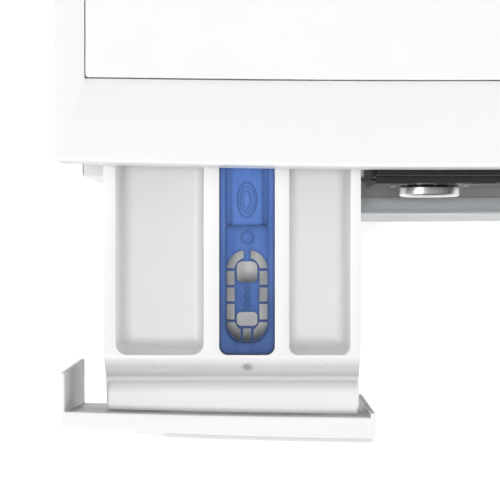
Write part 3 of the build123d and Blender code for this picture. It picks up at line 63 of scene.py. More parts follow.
def material(name, colour, roughness, metallic=0.0, specular=0.5, coat=0.0):
    """Principled material whose all-over values sit on the shader's own sockets."""
    made = bpy.data.materials.new(name)
    made.use_nodes = True
    shader = made.node_tree.nodes["Principled BSDF"]
    shader.inputs["Base Color"].default_value = (*colour, 1)
    shader.inputs["Roughness"].default_value = roughness
    shader.inputs["Metallic"].default_value = metallic
    shader.inputs["Specular IOR Level"].default_value = specular
    shader.inputs["Coat Weight"].default_value = coat
    shader.inputs["Coat Roughness"].default_value = COAT_ROUGHNESS
    return made


def node(made, kind, **values):
    """Add a shader node and set its properties."""
    added = made.node_tree.nodes.new(kind)
    for key, value in values.items():
        setattr(added, key, value)
    return added


def link(made, source, output, target, socket):
    """Join an output to a socket, both by name or number."""
    made.node_tree.links.new(source.outputs[output], target.inputs[socket])


def shader_of(made):
    """Principled shader of a material."""
    return made.node_tree.nodes["Principled BSDF"]


def place(made, stretch=(1, 1, 1)):
    """Object coordinates, stretched along the axes."""
    coords = node(made, "ShaderNodeTexCoord")
    mapping = node(made, "ShaderNodeMapping")
    mapping.inputs["Scale"].default_value = stretch
    link(made, coords, "Object", mapping, "Vector")
    return mapping


def noise(made, scale, detail=4.0, stretch=(1, 1, 1)):
    """Noise over the object, with its size in features per metre."""
    texture = node(made, "ShaderNodeTexNoise")
    texture.inputs["Scale"].default_value = scale
    texture.inputs["Detail"].default_value = detail
    link(made, place(made, stretch), 0, texture, "Vector")
    return texture


def vary_colour(made, texture, output, low, high, start=0.3, end=0.7):
    """Run the base colour between two tones."""
    ramp = node(made, "ShaderNodeValToRGB")
    ramp.color_ramp.elements[0].position = start
    ramp.color_ramp.elements[1].position = end
    ramp.color_ramp.elements[0].color = (*low, 1)
    ramp.color_ramp.elements[1].color = (*high, 1)
    link(made, texture, output, ramp, 0)
    link(made, ramp, 0, shader_of(made), "Base Color")


def vary_roughness(made, texture, output, low, high):
    """Run the roughness between two values."""
    spread = node(made, "ShaderNodeMapRange")
    spread.inputs["From Min"].default_value = 0.3
    spread.inputs["From Max"].default_value = 0.7
    spread.inputs["To Min"].default_value = low
    spread.inputs["To Max"].default_value = high
    link(made, texture, output, spread, 0)
    link(made, spread, 0, shader_of(made), "Roughness")


def relief(made, texture, output, distance, strength=0.5):
    """Surface relief from a texture; distance is the height in metres."""
    bump = node(made, "ShaderNodeBump")
    bump.inputs["Strength"].default_value = strength
    bump.inputs["Distance"].default_value = distance
    link(made, texture, output, bump, "Height")
    link(made, bump, 0, shader_of(made), "Normal")


def darken(made, factor):
    """Multiply the base colour by an output."""
    tree = made.node_tree
    target = shader_of(made).inputs["Base Color"]
    before = target.links[0].from_socket
    mixed = node(made, "ShaderNodeMix", data_type="RGBA", blend_type="MULTIPLY")
    mixed.inputs["Factor"].default_value = 1.0
    tree.links.new(before, mixed.inputs[6])
    tree.links.new(factor, mixed.inputs[7])
    tree.links.new(mixed.outputs[2], target)


def along(made, axis, stops):
    """Factor that runs through stops of (place in metres, value) along one axis of the object."""
    coords = node(made, "ShaderNodeTexCoord")
    split = node(made, "ShaderNodeSeparateXYZ")
    span = node(made, "ShaderNodeMapRange")
    ramp = node(made, "ShaderNodeValToRGB")
    first = stops[0][0]
    last = stops[-1][0]
    span.inputs["From Min"].default_value = first
    span.inputs["From Max"].default_value = last
    ramp.color_ramp.interpolation = "EASE"
    while len(ramp.color_ramp.elements) < len(stops):
        ramp.color_ramp.elements.new(0.5)
    for element, (at, value) in zip(ramp.color_ramp.elements, stops):
        element.position = (at - first) / (last - first)
        element.color = (value, value, value, 1)
    link(made, coords, "Object", split, 0)
    link(made, split, axis, span, 0)
    link(made, span, 0, ramp, 0)
    return ramp.outputs[0]


def shade_hollows(made, distance, darkest, inside=False):
    """Darken the base colour in corners narrower than the distance, or along edges with inside=True."""
    hollow = node(made, "ShaderNodeAmbientOcclusion", samples=HOLLOW_SAMPLES)
    hollow.inside = inside
    hollow.only_local = inside
    hollow.inputs["Distance"].default_value = distance
    depth = node(made, "ShaderNodeMapRange")
    depth.inputs["To Min"].default_value = darkest
    depth.inputs["To Max"].default_value = 1.0
    link(made, hollow, "AO", depth, 0)
    darken(made, depth.outputs[0])


def moulded(name, colour, roughness, grain_scale=2600.0, grain=0.00003, drift=0.02, coat=0.0):
    """Moulded plastic: fine spark-eroded grain, a slow drift of tone and uneven gloss."""
    made = material(name, colour, roughness, coat=coat)
    darker = tuple(max(0.0, c * (1 - drift)) for c in colour)
    vary_colour(made, noise(made, 9.0), 0, darker, colour)
    vary_roughness(made, noise(made, 60.0), 0, roughness * 0.85, roughness * 1.15)
    relief(made, noise(made, grain_scale, 2.0), 0, grain)
    return made


def enamelled(name, colour):
    """Stove-enamelled sheet: orange peel under a clear gloss."""
    made = material(name, colour, 0.28, coat=0.35)
    darker = tuple(c * 0.996 for c in colour)
    vary_colour(made, noise(made, 5.0), 0, darker, colour)
    vary_roughness(made, noise(made, 3.0, 1.0), 0, 0.28, 0.30)
    relief(made, noise(made, 160.0, 0.0), 0, 0.000002, 0.15)
    return made


def brushed(name, colour, roughness, stretch, scale=900.0):
    """Brushed metal with faint stains; a low stretch draws its grain out along that axis."""
    made = material(name, colour, roughness, metallic=1.0)
    lines = noise(made, scale, 3.0, stretch)
    vary_colour(made, noise(made, 14.0), 0, tuple(c * 0.9 for c in colour), colour)
    vary_roughness(made, lines, 0, roughness * 0.75, roughness * 1.3)
    relief(made, lines, 0, 0.00002, 0.4)
    return made


def cast(name, colour):
    """Rough casting under thin paint."""
    made = material(name, colour, 0.75)
    pits = noise(made, 260.0, 6.0)
    vary_colour(made, pits, 0, tuple(c * 0.7 for c in colour), colour)
    relief(made, pits, 0, 0.0006, 0.8)
    return made


def rubber(name, colour):
    """Matt rubber with a bloom of dust."""
    made = material(name, colour, 0.62)
    bloom = noise(made, 35.0, 5.0)
    vary_colour(made, bloom, 0, colour, tuple(min(1, c * 1.18 + 0.01) for c in colour))
    relief(made, noise(made, 1400.0, 2.0), 0, 0.00003)
    return made


# ---------------------------------------------------------------- materials

def galvanised():
    """Galvanised sheet with its crystal spangle."""
    made = material("galvanised_steel", (0.52, 0.54, 0.56), 0.38, metallic=0.85)
    spangle = node(made, "ShaderNodeTexVoronoi")
    spangle.inputs["Scale"].default_value = 95.0
    link(made, place(made), 0, spangle, "Vector")
    vary_colour(made, spangle, "Color", (0.42, 0.44, 0.46), (0.62, 0.64, 0.66), 0.1, 0.9)
    vary_roughness(made, spangle, "Color", 0.3, 0.5)
    relief(made, spangle, "Distance", 0.0001, 0.2)
    return made


def laminate():
    """White laminate with a faint pearl texture."""
    made = material("worktop_laminate", (0.9, 0.9, 0.9), 0.42)
    grain = noise(made, 900.0, 3.0)
    vary_colour(made, noise(made, 30.0), 0, (0.885, 0.885, 0.885), (0.905, 0.905, 0.905))
    relief(made, grain, 0, 0.00005, 0.5)
    return made


def black_glass():
    """Black glass with hardly visible finger haze."""
    made = material("control_glass", (0.012, 0.012, 0.014), 0.06, specular=0.6, coat=0.4)
    haze = noise(made, 25.0, 6.0)
    vary_roughness(made, haze, 0, 0.03, 0.12)
    vary_colour(made, haze, 0, (0.010, 0.010, 0.012), (0.017, 0.017, 0.019))
    return made


def silver_lacquer():
    """Silver lacquer with metal flake."""
    made = material("silver_ring", (0.48, 0.50, 0.515), 0.36, metallic=0.55, coat=0.3)
    flake = node(made, "ShaderNodeTexVoronoi")
    flake.inputs["Scale"].default_value = 2800.0
    link(made, place(made), 0, flake, "Vector")
    vary_colour(made, flake, "Color", (0.46, 0.48, 0.495), (0.52, 0.54, 0.555), 0.1, 0.9)
    vary_roughness(made, noise(made, 50.0), 0, 0.28, 0.4)
    relief(made, noise(made, 700.0, 1.0), 0, 0.00002, 0.3)
    return made


def turned_chrome():
    """Bright chrome with fine turning marks."""
    made = material("chrome", (0.86, 0.86, 0.87), 0.2, metallic=1.0)
    marks = noise(made, 1800.0, 2.0, (0.15, 1, 0.15))
    vary_roughness(made, marks, 0, 0.16, 0.26)
    vary_colour(made, noise(made, 70.0), 0, (0.8, 0.8, 0.81), (0.88, 0.88, 0.89))
    relief(made, marks, 0, 0.00001, 0.25)
    return made


def bowl_glass():
    """Clear moulded glass with slow waviness."""
    made = material("door_glass", (0.93, 0.96, 0.97), 0.02)
    shader_of(made).inputs["Transmission Weight"].default_value = 1.0
    shader_of(made).inputs["IOR"].default_value = 1.45
    relief(made, noise(made, 30.0, 1.0), 0, 0.0008, 0.25)
    vary_roughness(made, noise(made, 55.0), 0, 0.01, 0.05)
    return made


def blue_polypropylene(name):
    """Blue polypropylene, a little waxy, with fine flow streaks."""
    made = material(name, (0.075, 0.165, 0.50), 0.36, coat=0.15)
    shader_of(made).inputs["Subsurface Weight"].default_value = 0.12
    shader_of(made).inputs["Subsurface Radius"].default_value = (0.001, 0.0015, 0.003)
    shader_of(made).inputs["Subsurface Scale"].default_value = 1.0
    flow = noise(made, 40.0, 4.0, (3, 0.6, 1))
    vary_colour(made, flow, 0, (0.078, 0.175, 0.50), (0.115, 0.23, 0.60))
    vary_roughness(made, noise(made, 90.0), 0, 0.28, 0.46)
    relief(made, noise(made, 1900.0, 2.0), 0, 0.00003, 0.5)
    return made


def circuit_board():
    """Green solder mask with a grid of tracks."""
    made = material("board_green", (0.02, 0.12, 0.05), 0.35, coat=0.3)
    tracks = node(made, "ShaderNodeTexBrick")
    tracks.inputs["Scale"].default_value = 90.0
    link(made, place(made), 0, tracks, "Vector")
    vary_colour(made, tracks, "Color", (0.015, 0.09, 0.04), (0.03, 0.16, 0.07))
    return made


WHITE = (0.88, 0.88, 0.88)
SLOTS = {
    "white_enamel": enamelled("white_enamel", WHITE),
    "white_plastic": moulded("white_plastic", WHITE, 0.36, drift=0.012, grain=0.00001),
    "worktop_laminate": laminate(),
    "galvanised_steel": galvanised(),
    "grey_plastic": moulded("grey_plastic", (0.19, 0.186, 0.182), 0.42, grain=0.00005),
    "black_plastic": moulded("black_plastic", (0.018, 0.018, 0.019), 0.5, grain=0.00006),
    "fascia_plastic": moulded("fascia_plastic", (0.014, 0.014, 0.015), 0.45, grain=0.00004),
    "control_glass": black_glass(),
    "silver_ring": silver_lacquer(),
    "chrome": turned_chrome(),
    "door_glass": bowl_glass(),
    "rubber_grey": rubber("rubber_grey", (0.12, 0.125, 0.13)),
    "rubber_black": rubber("rubber_black", (0.02, 0.02, 0.02)),
    "insert_blue": blue_polypropylene("insert_blue"),
    "tub_plastic": moulded("tub_plastic", (0.52, 0.52, 0.50), 0.55, 900.0, 0.0001, 0.06),
    "stainless": brushed("stainless", (0.62, 0.63, 0.64), 0.26, (1, 0.08, 1)),
    "cast_weight": cast("cast_weight", (0.16, 0.16, 0.165)),
    "aluminium": brushed("aluminium", (0.66, 0.67, 0.68), 0.42, (1, 1, 1), 500.0),
    "zinc_steel": brushed("zinc_steel", (0.55, 0.56, 0.57), 0.32, (1, 1, 0.2), 700.0),
    "board_green": circuit_board(),
    "base_plastic": moulded("base_plastic", (0.06, 0.062, 0.065), 0.55, 1200.0, 0.0001),
}


def tray_plastic_painted_shade():
    """White polypropylene of the tray, with painted shade: darker on the compartment floors and in the
    front valley.
    """
    made = moulded("tray_plastic_painted_shade", WHITE, 0.36, drift=0.012, grain=0.00001)
    # Painted shade: the compartment floors darker by height, and a dark band along the valley in front of
    # the grip bar.
    floors = [(0.745, 0.84), (0.751, 0.86), (0.757, 1.0), (0.80, 1.0)]
    valley = [(-0.470, 1.0), (-0.456, 1.0), (-0.4425, 0.74), (-0.4405, 0.58), (-0.436, 0.74), (-0.425, 1.0),
              (-0.420, 1.0)]
    darken(made, along(made, "Z", floors))
    darken(made, along(made, "Y", valley))
    return made


def drawer_plastic_painted_shade():
    """White ABS of the drawer front, with painted shade darkening its inner corners."""
    made = moulded("drawer_plastic_painted_shade", WHITE, 0.34, drift=0.012, grain=0.00001)
    # Painted shade in the inner corners of the drawer front.
    shade_hollows(made, 0.11, 0.25)
    return made


def insert_blue_painted_shade():
    """Blue of the softener insert, with painted shade: darker towards the front, in its grooves and along
    its sharp edges.
    """
    made = blue_polypropylene("insert_blue_painted_shade")
    # Painted shade, darker towards the insert's front end.
    front_shade = [(-0.420, 0.50), (-0.405, 0.62), (-0.34, 0.85), (-0.30, 1.0), (-0.21, 1.0)]
    darken(made, along(made, "Y", front_shade))
    # Painted shade in the grooves and along the sharp edges.
    shade_hollows(made, 0.007, 0.30)
    shade_hollows(made, 0.0030, 0.15, inside=True)
    return made


def knob_finish():
    """Satin metal with fine streaks along the knob's axis."""
    made = material("knob_satin", (0.80, 0.80, 0.81), 0.34, metallic=1.0)
    marks = noise(made, 1600.0, 2.0, (1, 0.05, 1))
    vary_roughness(made, marks, 0, 0.28, 0.40)
    vary_colour(made, noise(made, 70.0), 0, (0.74, 0.74, 0.75), (0.82, 0.82, 0.83))
    return made


# Finishes of their own; those of the tray, drawer front and softener insert hold painted shade.
FINISH_AND_PAINTED_SHADE = {
    "program_knob": knob_finish(),
    "drawer_tray": tray_plastic_painted_shade(),
    "drawer_front": drawer_plastic_painted_shade(),
    "softener_insert": insert_blue_painted_shade(),
}


def dress_cad_nodes():
    """Give every CAD node the material of its slot."""
    for part in frame["record"]["subparts"]:
        shape = NODES[part["node"]].data
        shape.materials.clear()
        shape.materials.append(SLOTS[part["material_slot"]])


dress_cad_nodes()


# ---------------------------------------------------------------- mesh tools

SLOT_OF = {part["node"]: part["material_slot"] for part in frame["record"]["subparts"]}
BODY_OF = {name: body for body, names in frame["record"]["behaviour"]["bodies"].items() for name in names}
AXIS_Z = 0.425
SAME_POINT = 2e-6
FLAT_EDGE = 0.4
SHARP_EDGE = 32.0
EDGE_SEGMENTS = 3
ROUND_SEGMENTS = 160
TRIM_SEGMENTS = 200


def new_piece(name, mesh, body, slot):
    """Put a mesh in the scene as a piece that rides on a body and takes a slot's material."""
    piece = bpy.data.objects.new(name, mesh)
    bpy.context.scene.collection.objects.link(piece)
    mesh.materials.clear()
    mesh.materials.append(SLOTS[slot])
    if body:
        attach(piece, body)
    return piece


def copy_of(name):
    """Clean copy of a CAD node's mesh, with flat areas joined again."""
    mesh = NODES[name].data.copy()
    work = bmesh.new()
    work.from_mesh(mesh)
    bmesh.ops.remove_doubles(work, verts=work.verts, dist=SAME_POINT)
    bmesh.ops.dissolve_limit(work, angle_limit=math.radians(FLAT_EDGE), verts=work.verts, edges=work.edges)
    for face in work.faces:
        face.smooth = True
    work.to_mesh(mesh)
    work.free()
    return mesh


def softened(name, width):
    """Copy of a CAD node with its sharp edges rounded, shown in its place."""
    piece = new_piece(f"{name}_finished", copy_of(name), BODY_OF[name], SLOT_OF[name])
    bevel = piece.modifiers.new("edges", "BEVEL")
    bevel.width = width
    bevel.segments = EDGE_SEGMENTS
    bevel.limit_method = "ANGLE"
    bevel.angle_limit = math.radians(SHARP_EDGE)
    bevel.use_clamp_overlap = True
    bevel.harden_normals = True
    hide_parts(name)
    return piece


def rounded_off(points, rounds=2):
    """Closed outline with its corners cut again and again, so that it reads as a curve."""
    for _ in range(rounds):
        cut = []
        for index, (x0, y0) in enumerate(points):
            x1, y1 = points[(index + 1) % len(points)]
            cut.append((x0 * 0.75 + x1 * 0.25, y0 * 0.75 + y1 * 0.25))
            cut.append((x0 * 0.25 + x1 * 0.75, y0 * 0.25 + y1 * 0.75))
        points = cut
    return points


def turned_mesh(name, profile, segments):
    """Mesh of revolution about the drum's axis from a closed outline of (radius, y), in millimetres."""
    work = bmesh.new()
    rings = []
    for step in range(segments):
        angle = 2 * math.pi * step / segments
        ring = []
        for radius, y in profile:
            far = radius * MM
            ring.append(work.verts.new((far * math.cos(angle), y * MM, AXIS_Z + far * math.sin(angle))))
        rings.append(ring)
    for step, ring in enumerate(rings):
        after = rings[(step + 1) % segments]
        for index in range(len(profile)):
            following = (index + 1) % len(profile)
            face = work.faces.new((ring[index], ring[following], after[following], after[index]))
            face.smooth = True
    bmesh.ops.recalc_face_normals(work, faces=work.faces)
    mesh = bpy.data.meshes.new(name)
    work.to_mesh(mesh)
    work.free()
    return mesh


def new_turned_piece(name, profile, body, slot, segments=ROUND_SEGMENTS):
    """Piece of revolution about the drum's axis."""
    return new_piece(name, turned_mesh(name, profile, segments), body, slot)


# ---------------------------------------------------------------- door, gasket and drum

DRUM_WALL_RADIUS = 240.0
DRUM_HOLES_AROUND = 96
DRUM_HOLE_ROWS = 18
DRUM_HOLE_RADIUS = 2.3
DRUM_HOLE_SIDES = 8
DRUM_HOLE_DISH = 0.7
DRUM_WALL_INSET = 2.2
DRUM_MOUTH_SETBACK = 5
DRUM_MOUTH_DEPTH = 18
DRUM_BACK_DEPTH = 3
DRUM_SHEET = 0.0008


def perforated_wall(radius, y0, y1):
    """Drum wall of nearly square cells, each with a slightly dished eight-sided hole."""
    work = bmesh.new()
    across = 2 * DRUM_HOLES_AROUND
    down = 2 * DRUM_HOLE_ROWS

    def at(u, v, out=0.0):
        angle = 2 * math.pi * u / across
        far = (radius + out) * MM
        return (far * math.cos(angle), (y0 + (y1 - y0) * v / down) * MM, AXIS_Z + far * math.sin(angle))

    grid = {}
    for u in range(across):
        for v in range(down + 1):
            if u % 2 == 0 or v % 2 == 0:
                grid[u, v] = work.verts.new(at(u, v))
    cell_width = 2 * math.pi * radius / DRUM_HOLES_AROUND
    cell_height = (y1 - y0) / DRUM_HOLE_ROWS
    outline = [(0, 0), (1, 0), (2, 0), (2, 1), (2, 2), (1, 2), (0, 2), (0, 1)]
    for column in range(DRUM_HOLES_AROUND):
        for row in range(DRUM_HOLE_ROWS):
            outer = [grid[(2 * column + du) % across, 2 * row + dv] for du, dv in outline]
            inner = []
            for du, dv in outline:
                turn = math.atan2(dv - 1, du - 1)
                u = 2 * column + 1 + 2 * DRUM_HOLE_RADIUS * math.cos(turn) / cell_width
                v = 2 * row + 1 + 2 * DRUM_HOLE_RADIUS * math.sin(turn) / cell_height
                inner.append(work.verts.new(at(u, v, DRUM_HOLE_DISH)))
            for index in range(DRUM_HOLE_SIDES):
                after = (index + 1) % DRUM_HOLE_SIDES
                face = work.faces.new((outer[index], outer[after], inner[after], inner[index]))
                face.smooth = True
    bmesh.ops.recalc_face_normals(work, faces=work.faces)
    mesh = bpy.data.meshes.new("drum_wall")
    work.to_mesh(mesh)
    work.free()
    return mesh


def make_drum():
    """Perforated steel drum with a rolled mouth and a pressed back."""
    low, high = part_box("drum_shell")
    front = low.y / MM + DRUM_MOUTH_SETBACK
    back = high.y / MM
    wall_front = front + DRUM_MOUTH_DEPTH
    sheet = perforated_wall(DRUM_WALL_RADIUS - DRUM_WALL_INSET, wall_front, back - DRUM_BACK_DEPTH)
    wall = new_piece("drum_wall", sheet, "drum", "stainless")
    thick = wall.modifiers.new("sheet", "SOLIDIFY")
    thick.thickness = DRUM_SHEET
    thick.offset = 0
    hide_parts("drum_shell")
    mouth = [(152, front - 4), (154, front - 5), (157, front - 3), (162, front), (200, front + 2.5),
             (226, front + 5), (235, front + 9), (239, front + 16), (238.6, wall_front + 2),
             (237.4, wall_front + 2), (237.6, front + 16.5), (234, front + 10.4), (225.6, front + 6.4),
             (200, front + 3.9), (162, front + 1.4), (156, front - 1.6), (154, front - 3.6),
             (152.6, front - 3)]
    new_turned_piece("drum_mouth_ring", rounded_off(mouth, 1), "drum", "stainless")
    rings = [(0.5, back - 9), (40, back - 9), (60, back - 8), (95, back - 3), (110, back - 5),
             (125, back - 3), (180, back - 2.5), (195, back - 5), (210, back - 2.5), (236, back - 2.5),
             (238, back - 6), (239.2, back - 6), (239, back - 0.5), (120, back - 0.3), (0.5, back - 0.3)]
    new_turned_piece("drum_back", rounded_off(rings, 1), "drum", "stainless")


def make_gasket():
    """Grey rubber bellows with smooth folds, stretched between the cabinet and the tub."""
    profile = [(167.5, -275.2), (168.5, -276.6), (167.5, -278.3), (163, -278.9), (158.5, -278),
               (157, -274), (157, -265), (150, -263.5), (140, -266), (139.5, -264.2), (149.5, -260.5),
               (158, -260), (158.5, -249), (170, -243.5), (182, -241), (183.5, -238.5), (178, -236.2),
               (173.6, -236), (172.6, -233), (172.6, -217), (174.8, -217), (175.6, -232.5),
               (179, -233.6), (185, -236), (187, -239.5), (184, -243.4), (172, -246.4),
               (161.5, -252.5), (161.5, -275.2)]
    gasket = new_turned_piece("gasket_bellows", rounded_off(profile), None, "rubber_grey")
    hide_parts("door_gasket")
    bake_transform(gasket)


# Name, a place at the cabinet's end and one at the tub's end
STRETCHING_PARTS = (
    ("tub_springs", (0, 0, 0.80), (0, 0, 0.64)),
    ("fill_hose", (0, 0, 0.73), (0, 0, 0.65)),
    ("sump_hose", (0, 0, 0.08), (0, 0, 0.176)),
)


def make_stretching_parts():
    """Springs and hoses as smooth-shaded copies of their CAD nodes, fixed in place."""
    for name, start, end in STRETCHING_PARTS:
        piece = new_piece(f"{name}_flexible", copy_of(name), None, SLOT_OF[name])
        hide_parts(name)
        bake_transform(piece)


def make_door_trim():
    """Bright ring where the silver ring meets the glass."""
    profile = [(158.6, -294), (157.4, -296.4), (158.2, -298.4), (160.6, -298.9), (162.4, -297.9),
               (161.6, -296.2), (159.9, -295.8), (159.2, -294)]
    new_turned_piece("door_trim_ring", rounded_off(profile), "door", "chrome", TRIM_SEGMENTS)


EDGE_WIDTHS = {
    "drawer_tray": 0.0012,
    "drawer_front": 0.0010,
    "softener_insert": 0.0005,
    "worktop_frame": 0.0020,
    "worktop_board": 0.0008,
    "fascia_shell": 0.0006,
    "door_frame": 0.0008,
    "door_ring": 0.0012,
    "door_handle": 0.0012,
    "program_knob": 0.0004,
    "service_flap": 0.0006,
    "drain_filter": 0.0006,
    "door_hinge_bracket": 0.0005,
    "door_hinge_arm": 0.0005,
    "drum_paddles": 0.003,
}


def round_edges():
    """Show the CAD nodes of the table as copies with rounded edges, some in a finish of their own; those of
    the tray, drawer front and softener insert carry painted shade.
    """
    for name, width in EDGE_WIDTHS.items():
        finished = softened(name, width)
        if name in FINISH_AND_PAINTED_SHADE:
            finished.data.materials[0] = FINISH_AND_PAINTED_SHADE[name]


make_drum()
make_gasket()
make_stretching_parts()
make_door_trim()
round_edges()


# ---------------------------------------------------------------- raised and printed marks

BOX_FACES = ((4, 5, 6, 7), (3, 2, 1, 0), (0, 1, 5, 4), (1, 2, 6, 5), (2, 3, 7, 6), (3, 0, 4, 7))
STROKE_DEPTH = 0.15
STROKE_OVERLAP = 0.4


def stroked_mesh(name, paths, width, lift, surface):
    """Ribbons along paths of (u, v) in millimetres; surface turns (u, v, height) into a place in metres."""
    work = bmesh.new()
    for path in paths:
        for (u0, v0), (u1, v1) in zip(path, path[1:]):
            length = math.hypot(u1 - u0, v1 - v0)
            along_u = (u1 - u0) / length
            along_v = (v1 - v0) / length
            half = width / 2
            before = -half * STROKE_OVERLAP
            after = length + half * STROKE_OVERLAP
            corners = []
            for height in (-STROKE_DEPTH, lift):
                for forward, side in ((before, -half), (after, -half), (after, half), (before, half)):
                    u = u0 + along_u * forward - along_v * side
                    v = v0 + along_v * forward + along_u * side
                    corners.append(work.verts.new(surface(u, v, height)))
            for face in BOX_FACES:
                work.faces.new([corners[index] for index in face])
    bmesh.ops.recalc_face_normals(work, faces=work.faces)
    mesh = bpy.data.meshes.new(name)
    work.to_mesh(mesh)
    work.free()
    return mesh


def arc_path(u, v, radius, start, end, steps=24):
    """Points of an arc in degrees, from the u axis towards v."""
    turns = [math.radians(start + (end - start) * step / steps) for step in range(steps + 1)]
    return [(u + radius * math.cos(turn), v + radius * math.sin(turn)) for turn in turns]


GLASS_MIDDLE_Y = -287.0
GLASS_BOW = 9.0
HALF_WIDTH = 299.0
PANEL_Z = 749.0


def on_glass(u, v, height):
    """Place in front of the bowed control glass."""
    radius = (HALF_WIDTH ** 2 + GLASS_BOW ** 2) / (2 * GLASS_BOW)
    y = GLASS_MIDDLE_Y + radius - math.sqrt(radius ** 2 - u ** 2)
    return (u * MM, (y - height) * MM, (PANEL_Z + v) * MM)


CREST = (-425.0, 798.0)
VALLEY = (-441.5, 783.0)


def on_slope(u, v, height):
    """Place on the tray's sloping shelf; v runs from the crest down to the valley."""
    run = math.hypot(VALLEY[0] - CREST[0], VALLEY[1] - CREST[1])
    down_y = (VALLEY[0] - CREST[0]) / run
    down_z = (VALLEY[1] - CREST[1]) / run
    y = CREST[0] + down_y * v + down_z * height
    z = CREST[1] + down_z * v - down_y * height
    return (u * MM, y * MM, z * MM)


MARK_WIDTH = 1.3
MARK_LIFT = 0.4
FLOWER_MIDDLE = 11.0
PETAL_REACH = 3.2


def wash_tub(x, strokes):
    """Outline of a wash tub with short upright strokes in it, for a compartment."""
    paths = [[(x - 6.5, 7.0), (x - 5.0, 15.0), (x + 5.0, 15.0), (x + 6.5, 7.0)]]
    paths.append([(x - 5.6, 9.6), (x - 2.8, 8.8), (x, 9.6), (x + 2.8, 8.8), (x + 5.6, 9.6)])
    for index in range(strokes):
        place_x = x + (index - (strokes - 1) / 2) * 2.6
        paths.append([(place_x, 11.2), (place_x, 13.6)])
    return paths


def flower(x):
    """Six-petalled softener mark."""
    paths = [arc_path(x, FLOWER_MIDDLE, 1.5, 0, 360, 12)]
    for petal in range(6):
        turn = math.radians(60 * petal)
        petal_x = x + PETAL_REACH * math.cos(turn)
        petal_v = FLOWER_MIDDLE + PETAL_REACH * math.sin(turn)
        paths.append(arc_path(petal_x, petal_v, 1.6, 0, 360, 10))
    return paths


def make_tray_marks():
    """Raised compartment marks on the tray's slope, grey for painted shade."""
    paths = wash_tub(-221.25, 2) + flower(-151.85) + wash_tub(-94.0, 1)
    mesh = stroked_mesh("tray_marks", paths, MARK_WIDTH, MARK_LIFT, on_slope)
    piece = new_piece("tray_marks", mesh, "drawer", "white_plastic")
    # Painted shade: the raised strokes are moulded in the tray's white plastic and are made grey for the
    # shade they show.
    piece.data.materials[0] = moulded("mark_plastic_painted_shade", (0.72, 0.72, 0.72), 0.4)


def panel_ink(name, colour, glow=0.0):
    """Silk-screen ink on the control glass."""
    made = moulded(name, colour, 0.5)
    shader_of(made).inputs["Emission Color"].default_value = (*colour, 1)
    shader_of(made).inputs["Emission Strength"].default_value = glow
    return made


SEGMENTS = {
    "top": ((-2.2, 5.0), (2.2, 5.0)),
    "middle": ((-2.2, 0.0), (2.2, 0.0)),
    "bottom": ((-2.2, -5.0), (2.2, -5.0)),
    "top_left": ((-2.8, 0.6), (-2.8, 4.4)),
    "top_right": ((2.8, 0.6), (2.8, 4.4)),
    "low_left": ((-2.8, -4.4), (-2.8, -0.6)),
    "low_right": ((2.8, -4.4), (2.8, -0.6)),
}
DIGITS = {
    "0": ("top", "bottom", "top_left", "top_right", "low_left", "low_right"),
    "1": ("top_right", "low_right"),
    "3": ("top", "middle", "bottom", "top_right", "low_right"),
}
DIGIT_STEP = 10.0
TICKS = 16
TICK_START = 29.5
QUARTER_TICK_START = 28.5
TICK_END = 33.0
DISPLAY_X = 96.0
DISPLAY_HALF_WIDTH = 32
DISPLAY_HALF_HEIGHT = 13
COLON_X = DISPLAY_X - 6.4
LAMPS = 5
LAMP_STEP = 13
LAMP_X = DISPLAY_X - 22
LAMP_V = -19.5
LABEL_X = DISPLAY_X - 26
LABEL_V = -24.0
LABEL_LENGTH = 8
POWER_X = 168
POWER_V = 21


def display_digits(text, x):
    """Seven-segment digits side by side."""
    paths = []
    for index, digit in enumerate(text):
        centre = x + DIGIT_STEP * index
        for segment in DIGITS[digit]:
            paths.append([(centre + u, v) for u, v in SEGMENTS[segment]])
    return paths


def programme_ticks():
    """Short lines round the knob, longer at every quarter turn."""
    ticks = []
    for step in range(TICKS):
        turn = math.radians(90 + 360 * step / TICKS)
        inner = TICK_START if step % 4 else QUARTER_TICK_START
        start = (inner * math.cos(turn), inner * math.sin(turn))
        end = (TICK_END * math.cos(turn), TICK_END * math.sin(turn))
        ticks.append([start, end])
    return ticks


def display_frame():
    """Rectangle round the display."""
    left = DISPLAY_X - DISPLAY_HALF_WIDTH
    right = DISPLAY_X + DISPLAY_HALF_WIDTH
    low = -DISPLAY_HALF_HEIGHT
    high = DISPLAY_HALF_HEIGHT
    return [(left, low), (right, low), (right, high), (left, high), (left, low)]


def display_time():
    """Programme time of one hour and thirty minutes, with a colon."""
    colon = [[(COLON_X, 2.0), (COLON_X, 2.8)], [(COLON_X, -2.8), (COLON_X, -2.0)]]
    return display_digits("1", DISPLAY_X - 13) + display_digits("30", DISPLAY_X + 1) + colon


def power_sign():
    """Broken circle with an upright stroke."""
    circle = arc_path(POWER_X, POWER_V, 3.2, 120, 420, 20)
    return [circle, [(POWER_X, POWER_V + 0.6), (POWER_X, POWER_V + 4.6)]]


def start_sign():
    """Triangle and two upright strokes."""
    triangle = [(211.0, 18.2), (211.0, 24.4), (215.8, 21.3), (211.0, 18.2)]
    return [triangle, [(218.0, 18.2), (218.0, 24.4)], [(220.2, 18.2), (220.2, 24.4)]]


def lamp_labels():
    """Plain dash under each lamp."""
    starts = [LABEL_X + LAMP_STEP * index for index in range(LAMPS)]
    return [[(start, LABEL_V), (start + LABEL_LENGTH, LABEL_V)] for start in starts]


def lamp_rings():
    """Row of small round lamps."""
    return [arc_path(LAMP_X + LAMP_STEP * index, LAMP_V, 0.5, 0, 360, 10) for index in range(LAMPS)]


def new_panel_mark(name, paths, width, lift, ink):
    """Piece that lies on the control glass in an ink of its own."""
    piece = new_piece(name, stroked_mesh(name, paths, width, lift, on_glass), "cabinet", "white_plastic")
    piece.data.materials[0] = ink


